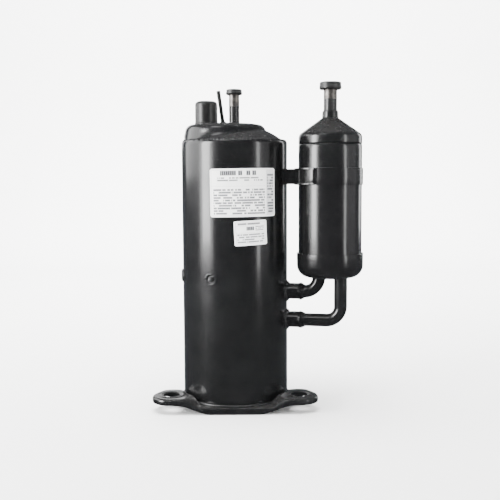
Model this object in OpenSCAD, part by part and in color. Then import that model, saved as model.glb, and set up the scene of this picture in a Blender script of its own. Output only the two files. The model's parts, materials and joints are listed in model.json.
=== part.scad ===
// Refrigeration rotary compressor: a welded steel shell holding a motor above a twin
// rolling-piston pump, with a suction accumulator strapped to its side.
// The origin is on the shell's axis at floor height. +Z is up, +X points to the
// accumulator's side and -Y is the labelled front. Lengths are in millimetres.

/* [Shell] */
// Outside diameter of the shell tube
shell_od = 130; // [105:1:160]
// Wall of the shell tube
shell_wall = 3.2; // [2.5:0.1:4]
// Height of the shell tube's lower edge
shell_foot_z = 10; // [10:0.5:14]
// Height of the shell tube's upper edge
shell_top_z = 323.5; // [315:0.5:395]
// Thickness of the pressed end caps
cap_wall = 3.2; // [2.5:0.1:4]
// Depth of each end cap's skirt inside the shell
skirt_depth = 12; // [8:1:16]
// Outer radius of the bottom cap's knuckle
bottom_knuckle_r = 14; // [12:0.5:16]
// Outer radius of the lid's shallow dome
lid_dome_r = 95.5; // [90:0.5:120]
// Rise of the lid's flat top above the shell's upper edge
lid_rise = 21.2; // [16:0.1:25]
// Radius of the lid's flat raised plateau
plateau_r = 49.5; // [38:0.5:50]
// Offset of the plateau towards the terminals
plateau_offset = 11; // [6:0.5:11]
// Edge rounding of the plateau
plateau_round = 8; // [5:0.5:10]

/* [Mounting plate] */
// Radial distance from the shell's surface to each mounting hole
mount_reach = 24; // [22:0.5:32]
// Diameter of the mounting holes
mount_hole_d = 20; // [12:0.5:22]
// Radius of the plate around each mounting hole
foot_r = 23; // [18:0.5:26]
// Thickness of the plate's sheet
plate_t = 3.2; // [2:0.1:4]
// Height of the plate's flat middle
plate_top_z = 8.8; // [7:0.1:9.5]
// Height of the raised pads at the mounting holes
pad_top_z = 19.5; // [15:0.5:24]
// Depth of the skirt below the pads
pad_skirt = 7.5; // [4:0.5:10]
// Length of the ramp between pad and flat middle
pad_ramp = 17; // [10:1:20]

/* [Lid fittings] */
// Outside diameter of the discharge pipe
discharge_od = 12.7; // [9.5:0.05:16]
// Wall of the copper pipes
pipe_wall = 1; // [0.8:0.1:1.5]
// Length of discharge pipe that stands above the lid
discharge_rise = 36.8; // [25:0.1:60]
// Diameter of the discharge plug's head
discharge_plug_d = 20; // [17:0.5:24]
// Thickness of the discharge plug's head
discharge_plug_t = 6.5; // [4:0.5:10]
// Distance of the terminals from the shell's axis
terminal_x = 34.3; // [30:0.1:38]
// Diameter of the terminal cover
cover_d = 28.6; // [26:0.1:32]
// Height of the terminal cover
cover_h = 29; // [24:0.5:36]
// Wall of the terminal cover
cover_wall = 2; // [1.5:0.1:2.5]
// Distance of the cover stud towards the terminals from the shell's axis
stud_x = 13.8; // [12:0.1:15]
// Distance of the cover stud behind the shell's axis
stud_y = 10; // [9:0.5:16]
// Thread diameter of the cover stud
stud_d = 4.8; // [4:0.1:6]
// Length of the cover stud
stud_length = 43.2; // [30:0.1:55]
// Lean of the cover stud towards the terminals
stud_lean = 8; // [0:0.5:10]

/* [Accumulator] */
// Outside diameter of the accumulator
acc_od = 76.2; // [63:0.1:90]
// Wall of the accumulator
acc_wall = 2; // [1.5:0.1:2.5]
// Gap between the shell and the accumulator
acc_gap = 15.4; // [12:0.1:30]
// Direction of the accumulator from +X, anticlockwise
acc_angle = -12.7; // [-30:0.1:30]
// Height of the accumulator's bottom
acc_bottom_z = 159.3; // [158:0.1:175]
// Height of the base cup's rim above the accumulator's bottom
acc_cup_h = 29.7; // [24:0.1:36]
// Height of the seam below the upper end
acc_seam_z = 319.2; // [300:0.1:322]
// Height where the spun cone meets the neck
acc_cone_top_z = 350.5; // [345:0.1:390]
// Slope of the spun cone
acc_cone_angle = 34.6; // [25:0.1:40]
// Edge rounding of the spun shoulder
acc_shoulder_r = 6; // [4:0.5:8]
// Length of the neck
neck_h = 7.5; // [5:0.5:12]
// Outside diameter of the suction pipes
suction_od = 15.88; // [12.7:0.01:16.5]
// Length of inlet pipe that stands above the neck
inlet_rise = 26.4; // [20:0.1:60]
// Diameter of the suction plug's head
suction_plug_d = 26.5; // [22:0.5:30]
// Thickness of the suction plug's head
suction_plug_t = 8.6; // [5:0.1:12]
// Centreline radius of the suction pipes' bends
bend_r = 17.5; // [16:0.5:17.5]
// Distance of each vertical pipe from the accumulator's axis
leg_offset = 13.3; // [10:0.1:16]
// Outside diameter of the collars on the shell
collar_od = 19.6; // [18:0.1:22]
// Length of the collars outside the shell
collar_length = 19; // [10:0.5:20]
// Height of the strap's lower edge
strap_z = 271; // [240:1:290]
// Width of the strap
strap_w = 20; // [15:0.5:25]
// Thickness of the strap
strap_t = 1.2; // [0.8:0.1:1.6]
// Thickness of the saddle's sheet
saddle_t = 2.2; // [1.6:0.1:3]
// Half the angle that the saddle covers
saddle_half = 68; // [50:1:75]
// Angle of each lap of strap over saddle
lap = 11; // [8:1:14]
// Width of the saddle's turned-out edges
flange_w = 2.6; // [2:0.1:5]
// Thickness of the saddle's turned-out edges
flange_t = 1.6; // [1.2:0.1:2.5]

/* [Labels] */
// Width of the specification label across the shell
label_w = 76.2; // [60:0.5:90]
// Height of the specification label
label_h = 56.2; // [40:0.1:70]
// Height of the specification label's middle
label_z = 262.4; // [240:0.1:280]
// Width of the serial label across the shell
serial_w = 39.8; // [30:0.1:50]
// Height of the serial label
serial_h = 29; // [20:0.5:32]
// Height of the serial label's middle
serial_z = 215.5; // [200:0.5:225]
// Direction of the specification label from +X, anticlockwise
label_angle = -79; // [-110:1:-60]
// Direction of the serial label from +X, anticlockwise
serial_angle = -72; // [-110:1:-60]
// Tilt of the specification label
label_tilt = 0.6; // [-3:0.1:3]
// Tilt of the serial label
serial_tilt = 2.5; // [-3:0.1:3]

/* [Motor] */
// Height of the lamination stacks' lower face
stack_z = 207; // [206:0.5:215]
// Height of the lamination stacks
stack_h = 58; // [40:1:70]
// Bore diameter of the stator
stator_bore = 62; // [56:0.5:68]
// Radial width of the stator's yoke
yoke_w = 14; // [8:0.5:14]
// Air gap between rotor and stator
air_gap = 0.7; // [0.4:0.05:1]
// Number of stator teeth
tooth_count = 9; // [6:1:12]
// Width of each stator tooth
tooth_w = 11; // [8:0.5:11]

/* [Pump] */
// Height of the middle plate's centre
pump_z = 123.2; // [118:0.1:123.5]
// Height of each cylinder
cylinder_h = 28; // [20:0.5:28]
// Bore diameter of the cylinders
cylinder_bore = 48; // [44:0.5:52]
// Outside diameter of the cylinder blocks
cylinder_od = 110; // [96:1:116]
// Thickness of the middle plate
mid_plate_t = 7.2; // [5:0.1:9]
// Throw of the crank's eccentrics
eccentricity = 4.5; // [3.5:0.1:4.7]
// Diameter of the crankshaft's journals
shaft_d = 17; // [15:0.1:17.2]
// Diameter of the crank's eccentrics
eccentric_d = 26.4; // [26:0.1:27]
// Radial clearance of the running fits
running_gap = 0.03; // [0.01:0.01:0.1]
// Thickness of the main bearing's flange
main_flange_t = 12; // [8:0.5:14]
// Thickness of the sub bearing's flange
sub_flange_t = 9; // [7:0.5:12]
// Thickness of the vanes
vane_t = 4; // [3:0.1:5]
// Length of the vanes
vane_length = 18; // [15:0.5:19]
// Depth of the muffler cups
muffler_h = 18; // [14:0.5:24]

/* [Hidden] */
$fn = 96;

seat = 0.02;      // gap between pieces that are pressed, shrunk or brazed together
clear = 0.3;      // gap between pieces that are loose or welded
swage = 0.3;      // reduction of a pipe's end where it is brazed in
braze_h = 2.2;    // height of a ring of brazing
over = 1;         // length by which a cutting tool passes the face it cuts

shell_r = shell_od / 2;
shell_ir = shell_r - shell_wall;
lid_r = shell_ir - seat;
lid_top_z = shell_top_z + lid_rise;
dome_z = shell_top_z - sqrt(pow(lid_dome_r, 2) - pow(lid_r, 2));
discharge_r = discharge_od / 2;
suction_r = suction_od / 2;
collar_r = collar_od / 2;
acc_r = acc_od / 2;
acc_x = shell_r + acc_gap + acc_r;
cylinder_top = mid_plate_t / 2 + cylinder_h;
main_face = cylinder_top + main_flange_t;
sub_face = cylinder_top + sub_flange_t;
pipe_drop = (mid_plate_t + cylinder_h) / 2;
shaft_r = shaft_d / 2;
bore_r = cylinder_bore / 2;
roller_r = bore_r - eccentricity - running_gap;
hub_r = shaft_r + 5;
vane_angle = 28;
port_angle = 48;
reed_angle = 102;
reed_length = 27;
reed_t = 0.4;
reed_w = 7;
clamp_length = 6;
stop_rise = 5.5;
bolt_angles = [75, 140, 200, 260, 325];
bolt_circle_r = 36;
bolt_d = 6;
screw_angles = [100, 170, 230, 295];
screw_d = 4;
muffler_r = 45;
muffler_t = 1.2;
spring_bore_r = 4.5;
port_r = 3.5;
slot_r = shell_ir - yoke_w;
shoe_t = 3;
coil_t = 4;
liner_t = 0.6;
bobbin_t = 5;
rotor_r = stator_bore / 2 - air_gap;
end_plate_t = 1.5;
weight_h = 9;
rivet_circle_r = 18.5;
rivet_r = 1.6;
pin_circle_r = 6.2;
bush_r = suction_r - pipe_wall - 0.1;
label_t = 0.25;
feet_angles = [-30, 90, 210];
plug_angles = [-168, -115, -23, 50, 120];
plug_r = 5.6;
plug_lip_r = 1.7;
plug_button_r = 2.6;
seam_bead_r = 2.3;
collar_bead_r = 1.9;
fillet_leg = 3.4;
collar_inset = 1;
collar_taper = 3;
cup_round = 15;
cup_overlap = 12.7;
standpipe_gap = 22;
screen_drop = 12;
support_rise = 70;
stub_depth = 14;
saddle_r = acc_r + seat;
discharge_stem = 12;
suction_stem = 14;
reed_rivet_r = 1.5;
stop_t = 2.4;
bush_seat = 14;
bush_wall = 1.2;

// ---- placing ----

module at_accumulator() rotate([0, 0, acc_angle]) translate([acc_x, 0, 0]) children();

// the upper half of the pump, measured up from the middle plate's centre
module pump_upper() translate([0, 0, pump_z]) rotate([0, 0, acc_angle]) children();

// the lower half is the upper one mirrored
module pump_lower() translate([0, 0, pump_z]) rotate([0, 0, acc_angle]) mirror([0, 0, 1])
    children();

// +X along the upper eccentric, which stands square to the vanes at rest
module crank_frame() rotate([0, 0, acc_angle + vane_angle + 90]) children();

// +X along the pump's radius, as the axis of a radial bore
module along_radius(from) translate([from, 0, 0]) rotate([0, 90, 0]) children();

module at_port() rotate([0, 0, port_angle]) translate([bore_r - 2, 0, 0])
    rotate([0, 0, reed_angle]) children();

// ---- shapes ----

module tube(r, wall, h) linear_extrude(h) difference() {
    circle(r);
    circle(r - wall);
}

module sector(r, t, z, h, from, sweep_angle) rotate([0, 0, from])
    rotate_extrude(angle = sweep_angle) translate([r, z]) square([t, h]);

// upright wall that rounds into a flat end at y = 0, as a half section
module cup_section(r, h, round_r) {
    translate([r - round_r, round_r]) intersection() {
        circle(round_r);
        translate([0, -round_r]) square(round_r);
    }
    square([r - round_r, round_r]);
    translate([0, round_r]) square([r, h - round_r]);
}

function unit(v) = v / norm(v);
function heading(p, i) = unit(p[min(i + 1, len(p) - 1)] - p[max(i - 1, 0)]);
function ring(p, i, r, n, side) = let (t = heading(p, i), a = unit(cross(t, side)), b = cross(t, a))
    [for (k = [0 : n - 1]) p[i] + r * (cos(360 * k / n) * a + sin(360 * k / n) * b)];

// round wire of n sides along a list of points; side is never parallel to the wire
module wire(path, r, n, side) {
    last = len(path) - 1;
    polyhedron(
        points = [for (i = [0 : last]) each ring(path, i, r, n, side)],
        faces = [
            [for (k = [0 : n - 1]) n - 1 - k],
            [for (k = [0 : n - 1]) last * n + k],
            for (i = [0 : last - 1], k = [0 : n - 1])
                let (a = i * n + k, b = i * n + (k + 1) % n) [a, b, b + n],
            for (i = [0 : last - 1], k = [0 : n - 1])
                let (a = i * n + k, b = i * n + (k + 1) % n) [a, b + n, a + n]
        ]);
}

// ---- shell and plate ----

module main_shell() color("#151617") difference() {
    translate([0, 0, shell_foot_z]) tube(shell_r, shell_wall, shell_top_z - shell_foot_z);
    for (z = [pump_z - pipe_drop, pump_z + pipe_drop])
        translate([0, 0, z]) rotate([0, 0, acc_angle]) along_radius(shell_ir / 2)
            cylinder(r = collar_r + seat, h = shell_r);
}

// the lid's solid, inset by a wall thickness
module lid_form(inset) intersection() {
    translate([0, 0, shell_top_z - skirt_depth - (inset > 0 ? over : 0)])
        cylinder(r = lid_r - inset, h = skirt_depth + lid_rise + (inset > 0 ? over : 0) - inset);
    union() {
        translate([0, 0, dome_z]) sphere(r = lid_dome_r - inset);
        translate([-plateau_offset, 0, lid_top_z - inset]) mirror([0, 0, 1]) rotate_extrude()
            cup_section(plateau_r - inset, lid_rise + skirt_depth, plateau_round - inset);
    }
}

module top_lid() color("#17181a") difference() {
    lid_form(0);
    lid_form(cap_wall);
    translate([0, 0, shell_top_z]) cylinder(r = discharge_r - swage + seat, h = lid_rise + over);
    translate([-terminal_x, 0, shell_top_z])
        cylinder(r = terminal_hole_r, h = lid_rise + over);
}

module bottom_cap() color("#151617") rotate_extrude() difference() {
    cup_section(lid_r, shell_foot_z + skirt_depth, bottom_knuckle_r);
    translate([0, cap_wall]) cup_section(lid_r - cap_wall, shell_foot_z + skirt_depth,
        bottom_knuckle_r - cap_wall);
}

mount_r = shell_r + mount_reach;
plate_hole_r = shell_ir - 0.6;
pad_wall_r = shell_r + 1;

module at_feet() for (a = feet_angles) rotate([0, 0, a]) translate([mount_r, 0, 0]) children();

// rounded triangle of feet, widened to a ring where it passes the shell
module plate_outline(inset) {
    r = foot_r - inset;
    at_feet() circle(r);
    polygon([for (a = feet_angles, side = [-60, 60])
        mount_r * [cos(a), sin(a)] + r * [cos(a + side), sin(a + side)]]);
    circle(shell_r + 2 - inset);
}

// flat-topped mounds at the feet, outside the given radius
module pads(z, rise, keep_r) difference() {
    at_feet() translate([0, 0, z]) cylinder(r1 = foot_r + 1 + pad_ramp, r2 = foot_r + 1, h = rise);
    translate([0, 0, z - over]) cylinder(r = keep_r, h = rise + 2 * over);
}

module mounting_plate() color("#101112") difference() {
    intersection() {
        linear_extrude(pad_top_z + over) plate_outline(0);
        union() {
            cylinder(r = mount_r + foot_r + over, h = plate_top_z);
            pads(plate_top_z - seat, pad_top_z - plate_top_z + seat, pad_wall_r);
        }
    }
    intersection() {
        translate([0, 0, -over]) linear_extrude(pad_top_z + over) plate_outline(plate_t);
        union() {
            translate([0, 0, -over])
                cylinder(r = mount_r + foot_r + over, h = plate_top_z - plate_t + over);
            pads(plate_top_z - plate_t - seat, pad_top_z - plate_top_z + seat, pad_wall_r + plate_t);
        }
    }
    pads(-over, pad_top_z - pad_skirt + over, pad_wall_r + plate_t);
    translate([0, 0, -over]) cylinder(r = plate_hole_r, h = pad_top_z);
    at_feet() translate([0, 0, -over]) cylinder(d = mount_hole_d, h = pad_top_z + 2 * over);
}

// the bead that closes the lid and the fillet that holds the plate
module seam_welds() color("#1b1c1d") {
    rotate_extrude() difference() {
        translate([shell_r - seam_bead_r + 0.4, shell_top_z + 0.4]) circle(seam_bead_r);
        translate([0, shell_top_z - 5]) square([shell_r + 5, 5]);
        translate([0, dome_z]) circle(lid_dome_r);
    }
    rotate_extrude() polygon([
        [shell_ir + clear, plate_top_z], [shell_r + 0.9, plate_top_z],
        [shell_r + 0.9, plate_top_z + 1.2], [shell_r, plate_top_z + fillet_leg],
        [shell_r, shell_foot_z], [shell_ir + clear, shell_foot_z]]);
}

// domed plugs of weld that hold the main bearing in the shell
module plug_welds() color("#131415") difference() {
    for (a = plug_angles)
        translate([0, 0, pump_z + main_face - main_flange_t / 2]) rotate([0, 0, a])
            along_radius(shell_r - 3) rotate_extrude() {
                square([plug_r, 3.8]);
                translate([plug_r, 3]) circle(plug_lip_r);
                square([plug_button_r, 4.8]);
            }
    cylinder(r = shell_r, h = shell_top_z, $fn = 360);
}

module shell_label(angle, z, w, h, tilt) intersection() {
    translate([0, 0, z - h]) tube(shell_r + label_t, label_t, 2 * h);
    rotate([0, 0, angle]) translate([shell_r, 0, z]) rotate([tilt, 0, 0])
        cube([shell_od, w, h], center = true);
}

module spec_label() color("#e9e9e6") shell_label(label_angle, label_z, label_w, label_h, label_tilt);
module serial_label() color("#efefec")
    shell_label(serial_angle, serial_z, serial_w, serial_h, serial_tilt);

// ---- lid fittings ----

terminal_hole_r = 10.5;
pin_r = 1.6;
glass_r = 2.7;

module at_pins() translate([-terminal_x, 0, 0]) for (a = [90, 210, 330])
    rotate([0, 0, a]) translate([pin_circle_r, 0, 0]) children();

module terminal_body() color("#8d8f90") difference() {
    translate([-terminal_x, 0, lid_top_z]) {
        cylinder(r = terminal_hole_r + 1.2, h = 1.6);
        translate([0, 0, -8]) cylinder(r = terminal_hole_r - seat, h = 9);
    }
    at_pins() translate([0, 0, lid_top_z - 9]) cylinder(r = glass_r + seat, h = 12);
}

module terminal_glass() color("#3a5f58") difference() {
    at_pins() translate([0, 0, lid_top_z - 8.6]) cylinder(r = glass_r, h = 11);
    at_pins() translate([0, 0, lid_top_z - 10]) cylinder(r = pin_r + seat, h = 14);
}

module terminal_pins() color("#b9b9b4") at_pins()
    translate([0, 0, lid_top_z - 17]) cylinder(r = pin_r, h = 35);

module terminal_cover() color("#0d0d0e") translate([-terminal_x, 0, lid_top_z + cover_h])
    mirror([0, 0, 1]) rotate_extrude() difference() {
        cup_section(cover_d / 2, cover_h, 4.5);
        translate([0, cover_wall]) cup_section(cover_d / 2 - cover_wall, cover_h, 2.5);
    }

module cover_stud() color("#2c2d2e") difference() {
    translate([-stud_x, stud_y, lid_top_z]) rotate([0, -stud_lean, 0]) {
        translate([0, 0, -2]) cylinder(d = stud_d, h = stud_length + 2);
        translate([0, 0, -2]) cylinder(d = stud_d + 2.6, h = 3.4);
    }
    translate([0, 0, lid_top_z - 5]) cylinder(r = shell_r, h = 5);
}

// stub with a drawn-down lower end, from the given depth below z = 0 up to its free end
module stub_pipe(r, depth, shoulder, rise) {
    translate([0, 0, -depth]) tube(r - swage, pipe_wall - swage, depth + shoulder);
    translate([0, 0, shoulder]) tube(r, pipe_wall, rise - shoulder);
}

module discharge_pipe() color("#141516") translate([0, 0, lid_top_z])
    stub_pipe(discharge_r, stub_depth, braze_h + 0.2, discharge_rise);

// push-in plug: a head on the pipe's end and a stem inside it
module pipe_plug(head_d, head_t, stem_r, stem_length) rotate_extrude() {
    translate([0, head_t]) mirror([0, 1]) cup_section(head_d / 2, head_t, 1.6);
    translate([0, -stem_length]) square([stem_r - 0.06, stem_length]);
}

module discharge_plug() color("#161616") translate([0, 0, lid_top_z + discharge_rise])
    pipe_plug(discharge_plug_d, discharge_plug_t, discharge_r - pipe_wall, discharge_stem);

// ---- suction pipes ----

module suction_collars() color("#131415") rotate([0, 0, acc_angle])
    for (z = [pump_z - pipe_drop, pump_z + pipe_drop]) translate([0, 0, z])
        along_radius(shell_ir - collar_inset) rotate_extrude() difference() {
            end = collar_length + shell_wall + collar_inset;
            union() {
                square([collar_r, end]);
                polygon([[0, end], [collar_r, end], [suction_r + 0.5, end + collar_taper],
                    [0, end + collar_taper]]);
            }
            translate([0, -over]) square([suction_r + seat, end + collar_taper + 2 * over]);
        }

module collar_welds() color("#1b1c1d") difference() {
    rotate([0, 0, acc_angle]) for (z = [pump_z - pipe_drop, pump_z + pipe_drop])
        translate([0, 0, z]) along_radius(shell_r - 4) rotate_extrude() difference() {
            union() {
                square([collar_r + collar_bead_r, 5]);
                translate([collar_r, 5]) circle(collar_bead_r);
            }
            translate([0, -over]) square([collar_r + seat, 12]);
        }
    cylinder(r = shell_r, h = shell_top_z);
}

// pipe from inside the collar, round a bend and up to a standpipe in the accumulator
module suction_pipe(z, leg_x) rotate([0, 0, acc_angle]) {
    start = shell_ir - collar_inset;
    translate([0, 0, z]) along_radius(start) tube(suction_r, pipe_wall, leg_x - bend_r - start);
    translate([leg_x - bend_r, 0, z + bend_r]) rotate([90, 0, 0]) rotate([0, 0, -90])
        rotate_extrude(angle = 90) translate([bend_r, 0]) difference() {
            circle(suction_r);
            circle(suction_r - pipe_wall);
        }
    translate([leg_x, 0, z + bend_r])
        tube(suction_r, pipe_wall, acc_seam_z - standpipe_gap - z - bend_r);
}

module suction_pipe_upper() color("#141516")
    suction_pipe(pump_z + pipe_drop, acc_x - leg_offset);
module suction_pipe_lower() color("#141516")
    suction_pipe(pump_z - pipe_drop, acc_x + leg_offset);

// tubes that carry the gas on from the suction pipes into the cylinders
module suction_bushes() color("#b5713f") rotate([0, 0, acc_angle])
    for (z = [pump_z - pipe_drop, pump_z + pipe_drop]) translate([0, 0, z])
        along_radius(bore_r + bush_seat) tube(bush_r, bush_wall, shell_r + 8 - bore_r - bush_seat);

module braze_ring(r) rotate_extrude() intersection() {
    translate([r, 0]) circle(braze_h);
    translate([r + seat, 0]) square(braze_h + over);
}

module pipe_brazing() color("#1c1a18") {
    translate([0, 0, lid_top_z]) braze_ring(discharge_r - swage);
    at_accumulator() translate([0, 0, acc_cone_top_z + neck_h]) braze_ring(suction_r - swage);
    at_accumulator() for (side = [-1, 1]) translate([side * leg_offset, 0, acc_bottom_z])
        mirror([0, 0, 1]) braze_ring(suction_r);
}

// ---- accumulator ----

shoulder_rise = acc_shoulder_r * cos(acc_cone_angle)
    + (acc_r - acc_shoulder_r + acc_shoulder_r * sin(acc_cone_angle) - suction_r - acc_wall)
    * tan(acc_cone_angle);
shoulder_z = acc_cone_top_z - shoulder_rise;

// half section of the spun upper end, inset by a wall thickness
module spun_section(inset) {
    r = acc_shoulder_r - inset;
    x = acc_r - acc_shoulder_r;
    tip = [x + r * sin(acc_cone_angle), shoulder_z + r * cos(acc_cone_angle)];
    translate([x, shoulder_z]) intersection() {
        circle(r);
        square(r + over);
    }
    polygon([[0, acc_seam_z - (inset > 0 ? over : 0)], [x + r, acc_seam_z - (inset > 0 ? over : 0)],
        [x + r, shoulder_z], [x, shoulder_z], tip, [0, tip[1] + tip[0] * tan(acc_cone_angle)]]);
}

module accumulator_top() color("#131415") at_accumulator() rotate_extrude() difference() {
    union() {
        intersection() {
            spun_section(0);
            square([acc_od, acc_cone_top_z]);
        }
        translate([0, acc_cone_top_z - 4]) square([suction_r + 1.5, neck_h + 4]);
    }
    intersection() {
        spun_section(acc_wall);
        square([acc_od, acc_cone_top_z - 2]);
    }
    translate([0, acc_seam_z]) square([suction_r - swage + seat, 200]);
}

module accumulator_body() color("#131415") at_accumulator()
    translate([0, 0, acc_bottom_z + acc_cup_h - cup_overlap])
        tube(acc_r, acc_wall, acc_seam_z - acc_bottom_z - acc_cup_h + cup_overlap);

module accumulator_base() color("#131415") at_accumulator() difference() {
    translate([0, 0, acc_bottom_z]) rotate_extrude() difference() {
        cup_section(acc_r + acc_wall + seat, acc_cup_h, cup_round);
        translate([0, acc_wall]) cup_section(acc_r + seat, acc_cup_h, cup_round - acc_wall);
    }
    for (side = [-1, 1]) translate([side * leg_offset, 0, acc_bottom_z - over])
        cylinder(r = suction_r + seat, h = 10);
}

// perforated plate under the inlet that spreads the returning gas
module accumulator_screen() color("#a9a9a4") at_accumulator() translate([0, 0, acc_seam_z - screen_drop])
    difference() {
        cylinder(r = acc_r - acc_wall - seat, h = 5);
        translate([0, 0, -over]) cylinder(r = acc_r - acc_wall - 1.5, h = 4.8);
        for (row = [1 : 3], i = [0 : 6 * row - 1]) rotate([0, 0, 60 * i / row])
            translate([9 * row, 0, 0]) cylinder(r = 1.6, h = 10);
    }

module standpipe_support() color("#a9a9a4") at_accumulator() translate([0, 0, acc_bottom_z + support_rise])
    linear_extrude(1.5) difference() {
        circle(acc_r - acc_wall - seat);
        for (side = [-1, 1]) translate([side * leg_offset, 0]) circle(suction_r + seat);
        for (a = [90, 270]) rotate(a) translate([23, 0]) circle(8);
    }

module inlet_pipe() color("#141516") at_accumulator() translate([0, 0, acc_cone_top_z + neck_h])
    stub_pipe(suction_r, neck_h + 10, braze_h + 0.2, inlet_rise);

module suction_plug() color("#161616") at_accumulator()
    translate([0, 0, acc_cone_top_z + neck_h + inlet_rise])
        pipe_plug(suction_plug_d, suction_plug_t, suction_r - pipe_wall, suction_stem);

// flat piece of a ring between two directions
module ring_wedge(r, t, from, sweep_angle) intersection() {
    difference() {
        circle(r + t);
        circle(r);
    }
    polygon([[0, 0], for (i = [0 : 8]) 3 * r * [cos(from + i * sweep_angle / 8),
        sin(from + i * sweep_angle / 8)]]);
}

// channel section of the saddle: a web with a flange along each edge
module saddle_section() translate([saddle_r, strap_z]) {
    square([saddle_t, strap_w]);
    for (y = [0, strap_w - flange_t]) translate([0, y]) square([saddle_t + flange_w, flange_t]);
}

// saddle that cradles the accumulator, with two arms welded to the shell
module accumulator_bracket() color("#151617") difference() {
    at_accumulator() {
        difference() {
            rotate([0, 0, 180 - saddle_half]) rotate_extrude(angle = 2 * saddle_half)
                saddle_section();
            for (from = [180 - saddle_half - 1, 180 + saddle_half - lap - 3])
                translate([0, 0, strap_z - over]) linear_extrude(strap_w + 2 * over)
                    ring_wedge(saddle_r + saddle_t, flange_w + over, from, lap + 4);
        }
        difference() {
            for (y = [-17.5, 15]) translate([-acc_r - acc_gap - 6, y, strap_z + flange_t / 2])
                cube([acc_gap + 14, 2.5, strap_w - flange_t]);
            translate([0, 0, strap_z - over]) cylinder(r = saddle_r + saddle_t / 2, h = strap_w + 2 * over);
        }
    }
    translate([0, 0, strap_z - over]) cylinder(r = shell_r, h = strap_w + 2 * over);
}

// band round the far side whose ends lap over the saddle
module accumulator_strap() color("#1a1b1c") at_accumulator() translate([0, 0, strap_z])
    linear_extrude(strap_w) {
        from = 180 + saddle_half + 0.3;
        span = 360 - 2 * saddle_half - 0.6;
        ring_wedge(saddle_r, strap_t, from, span);
        for (a = [from, from + span - 2]) ring_wedge(saddle_r, saddle_t + seat + strap_t, a, 2);
        for (a = [from - lap, from + span - 1])
            ring_wedge(saddle_r + saddle_t + seat, strap_t, a, lap + 1);
    }

// ---- motor ----

module at_teeth() for (i = [0 : tooth_count - 1]) rotate([0, 0, (i + 0.5) * 360 / tooth_count])
    children();

module stator_core() color("#6f7275") translate([0, 0, stack_z]) linear_extrude(stack_h)
    difference() {
        circle(shell_ir - seat);
        circle(stator_bore / 2);
        difference() {
            circle(slot_r);
            circle(stator_bore / 2 + shoe_t);
            at_teeth() translate([0, -tooth_w / 2]) square([shell_r, tooth_w]);
        }
        for (i = [0 : tooth_count - 1]) rotate(i * 360 / tooth_count) {
            translate([stator_bore / 2 - 2, -1.5]) square([shoe_t + 4, 3]);
            translate([shell_ir + 1.5, 0]) circle(5);
        }
    }

// rounded ring of wire round one tooth, drawn in the plane square to the tooth
module coil_section(half_w, half_h, t) difference() {
    translate([-half_w - t, -half_h]) square([2 * (half_w + t), 2 * half_h]);
    translate([-half_w, -half_h]) square([2 * half_w, 2 * half_h]);
}

module coil_end(half_w, half_h, t) translate([-half_w, half_h]) {
    square([2 * half_w, t]);
    for (x = [0, 2 * half_w]) translate([x, 0]) intersection() {
        circle(t);
        translate([x == 0 ? -t : 0, 0]) square(t);
    }
}

module stator_windings() color("#b8632a") translate([0, 0, stack_z + stack_h / 2]) at_teeth()
    along_radius(stator_bore / 2 + shoe_t + 1) rotate([0, 0, 90])
        linear_extrude(slot_r - stator_bore / 2 - shoe_t - 2.5) {
            half_w = tooth_w / 2 + liner_t;
            half_h = stack_h / 2 + bobbin_t + 0.2;
            coil_section(half_w, half_h, coil_t);
            coil_end(half_w, half_h, coil_t);
            mirror([0, 1]) coil_end(half_w, half_h, coil_t);
        }

module winding_insulators() color("#e8e2cf") translate([0, 0, stack_z + stack_h / 2])
    for (side = [0, 1]) mirror([0, 0, side]) translate([0, 0, stack_h / 2]) {
        tube(slot_r + 3, 2.5, bobbin_t + 7);
        at_teeth() translate([stator_bore / 2 + 0.5, -tooth_w / 2, 0])
            cube([slot_r + 1 - stator_bore / 2, tooth_w, bobbin_t]);
    }

lead_r = 1.1;
lead_foot_z = stack_z + stack_h + bobbin_t + coil_t + 0.4;
lead_top_z = lid_top_z - 17;
function lead_point(a, u) = let (
    top = [-terminal_x + pin_circle_r * cos(a), pin_circle_r * sin(a)],
    foot = (stator_bore / 2 + shoe_t + 6) * [cos(180 + (a - 210) / 5), sin(180 + (a - 210) / 5)],
    mix = u * u * (3 - 2 * u))
    [foot[0] * (1 - mix) + top[0] * mix, foot[1] * (1 - mix) + top[1] * mix,
     lead_foot_z + (lead_top_z - lead_foot_z) * u];

// leads from the windings to the pins' inner ends
module lead_wires() color("#9a2f22") for (a = [90, 210, 330])
    wire([for (i = [0 : 14]) lead_point(a, i / 14)], lead_r, 8, [0, 1, 0]);

// ---- rotor and crank ----

crank_top_z = stack_z + stack_h;
crank_foot_z = pump_z - sub_face - 24;

// one eccentric, in the pump's half frame
module eccentric(x) translate([x, 0, mid_plate_t / 2 + 0.5])
    cylinder(d = eccentric_d, h = cylinder_h - 1);

module crankshaft() color("#8b8f92") crank_frame() difference() {
    union() {
        translate([0, 0, crank_foot_z]) cylinder(r = shaft_r, h = crank_top_z - crank_foot_z);
        translate([0, 0, pump_z]) {
            eccentric(eccentricity);
            mirror([0, 0, 1]) eccentric(-eccentricity);
        }
    }
    translate([0, 0, crank_foot_z - over]) cylinder(r = 3.5, h = pump_z + main_face - crank_foot_z);
}

module oil_paddle() color("#a9a9a4") crank_frame() translate([-3.1, -0.6, crank_foot_z - 14])
    cube([6.2, 1.2, 60]);

module rotor_core() color("#7b7e80") crank_frame() translate([0, 0, stack_z])
    linear_extrude(stack_h) difference() {
        circle(rotor_r);
        circle(shaft_r + seat);
        for (i = [0 : 5]) rotate(60 * i) {
            translate([rotor_r - 9, -10.2]) square([3.4, 20.4]);
            translate([rivet_circle_r, 0]) circle(rivet_r + seat);
        }
    }

module rotor_magnets() color("#505355") crank_frame() for (i = [0 : 5]) rotate([0, 0, 60 * i])
    translate([rotor_r - 8.8, -10, stack_z + 0.5]) cube([3, 20, stack_h - 1]);

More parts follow.
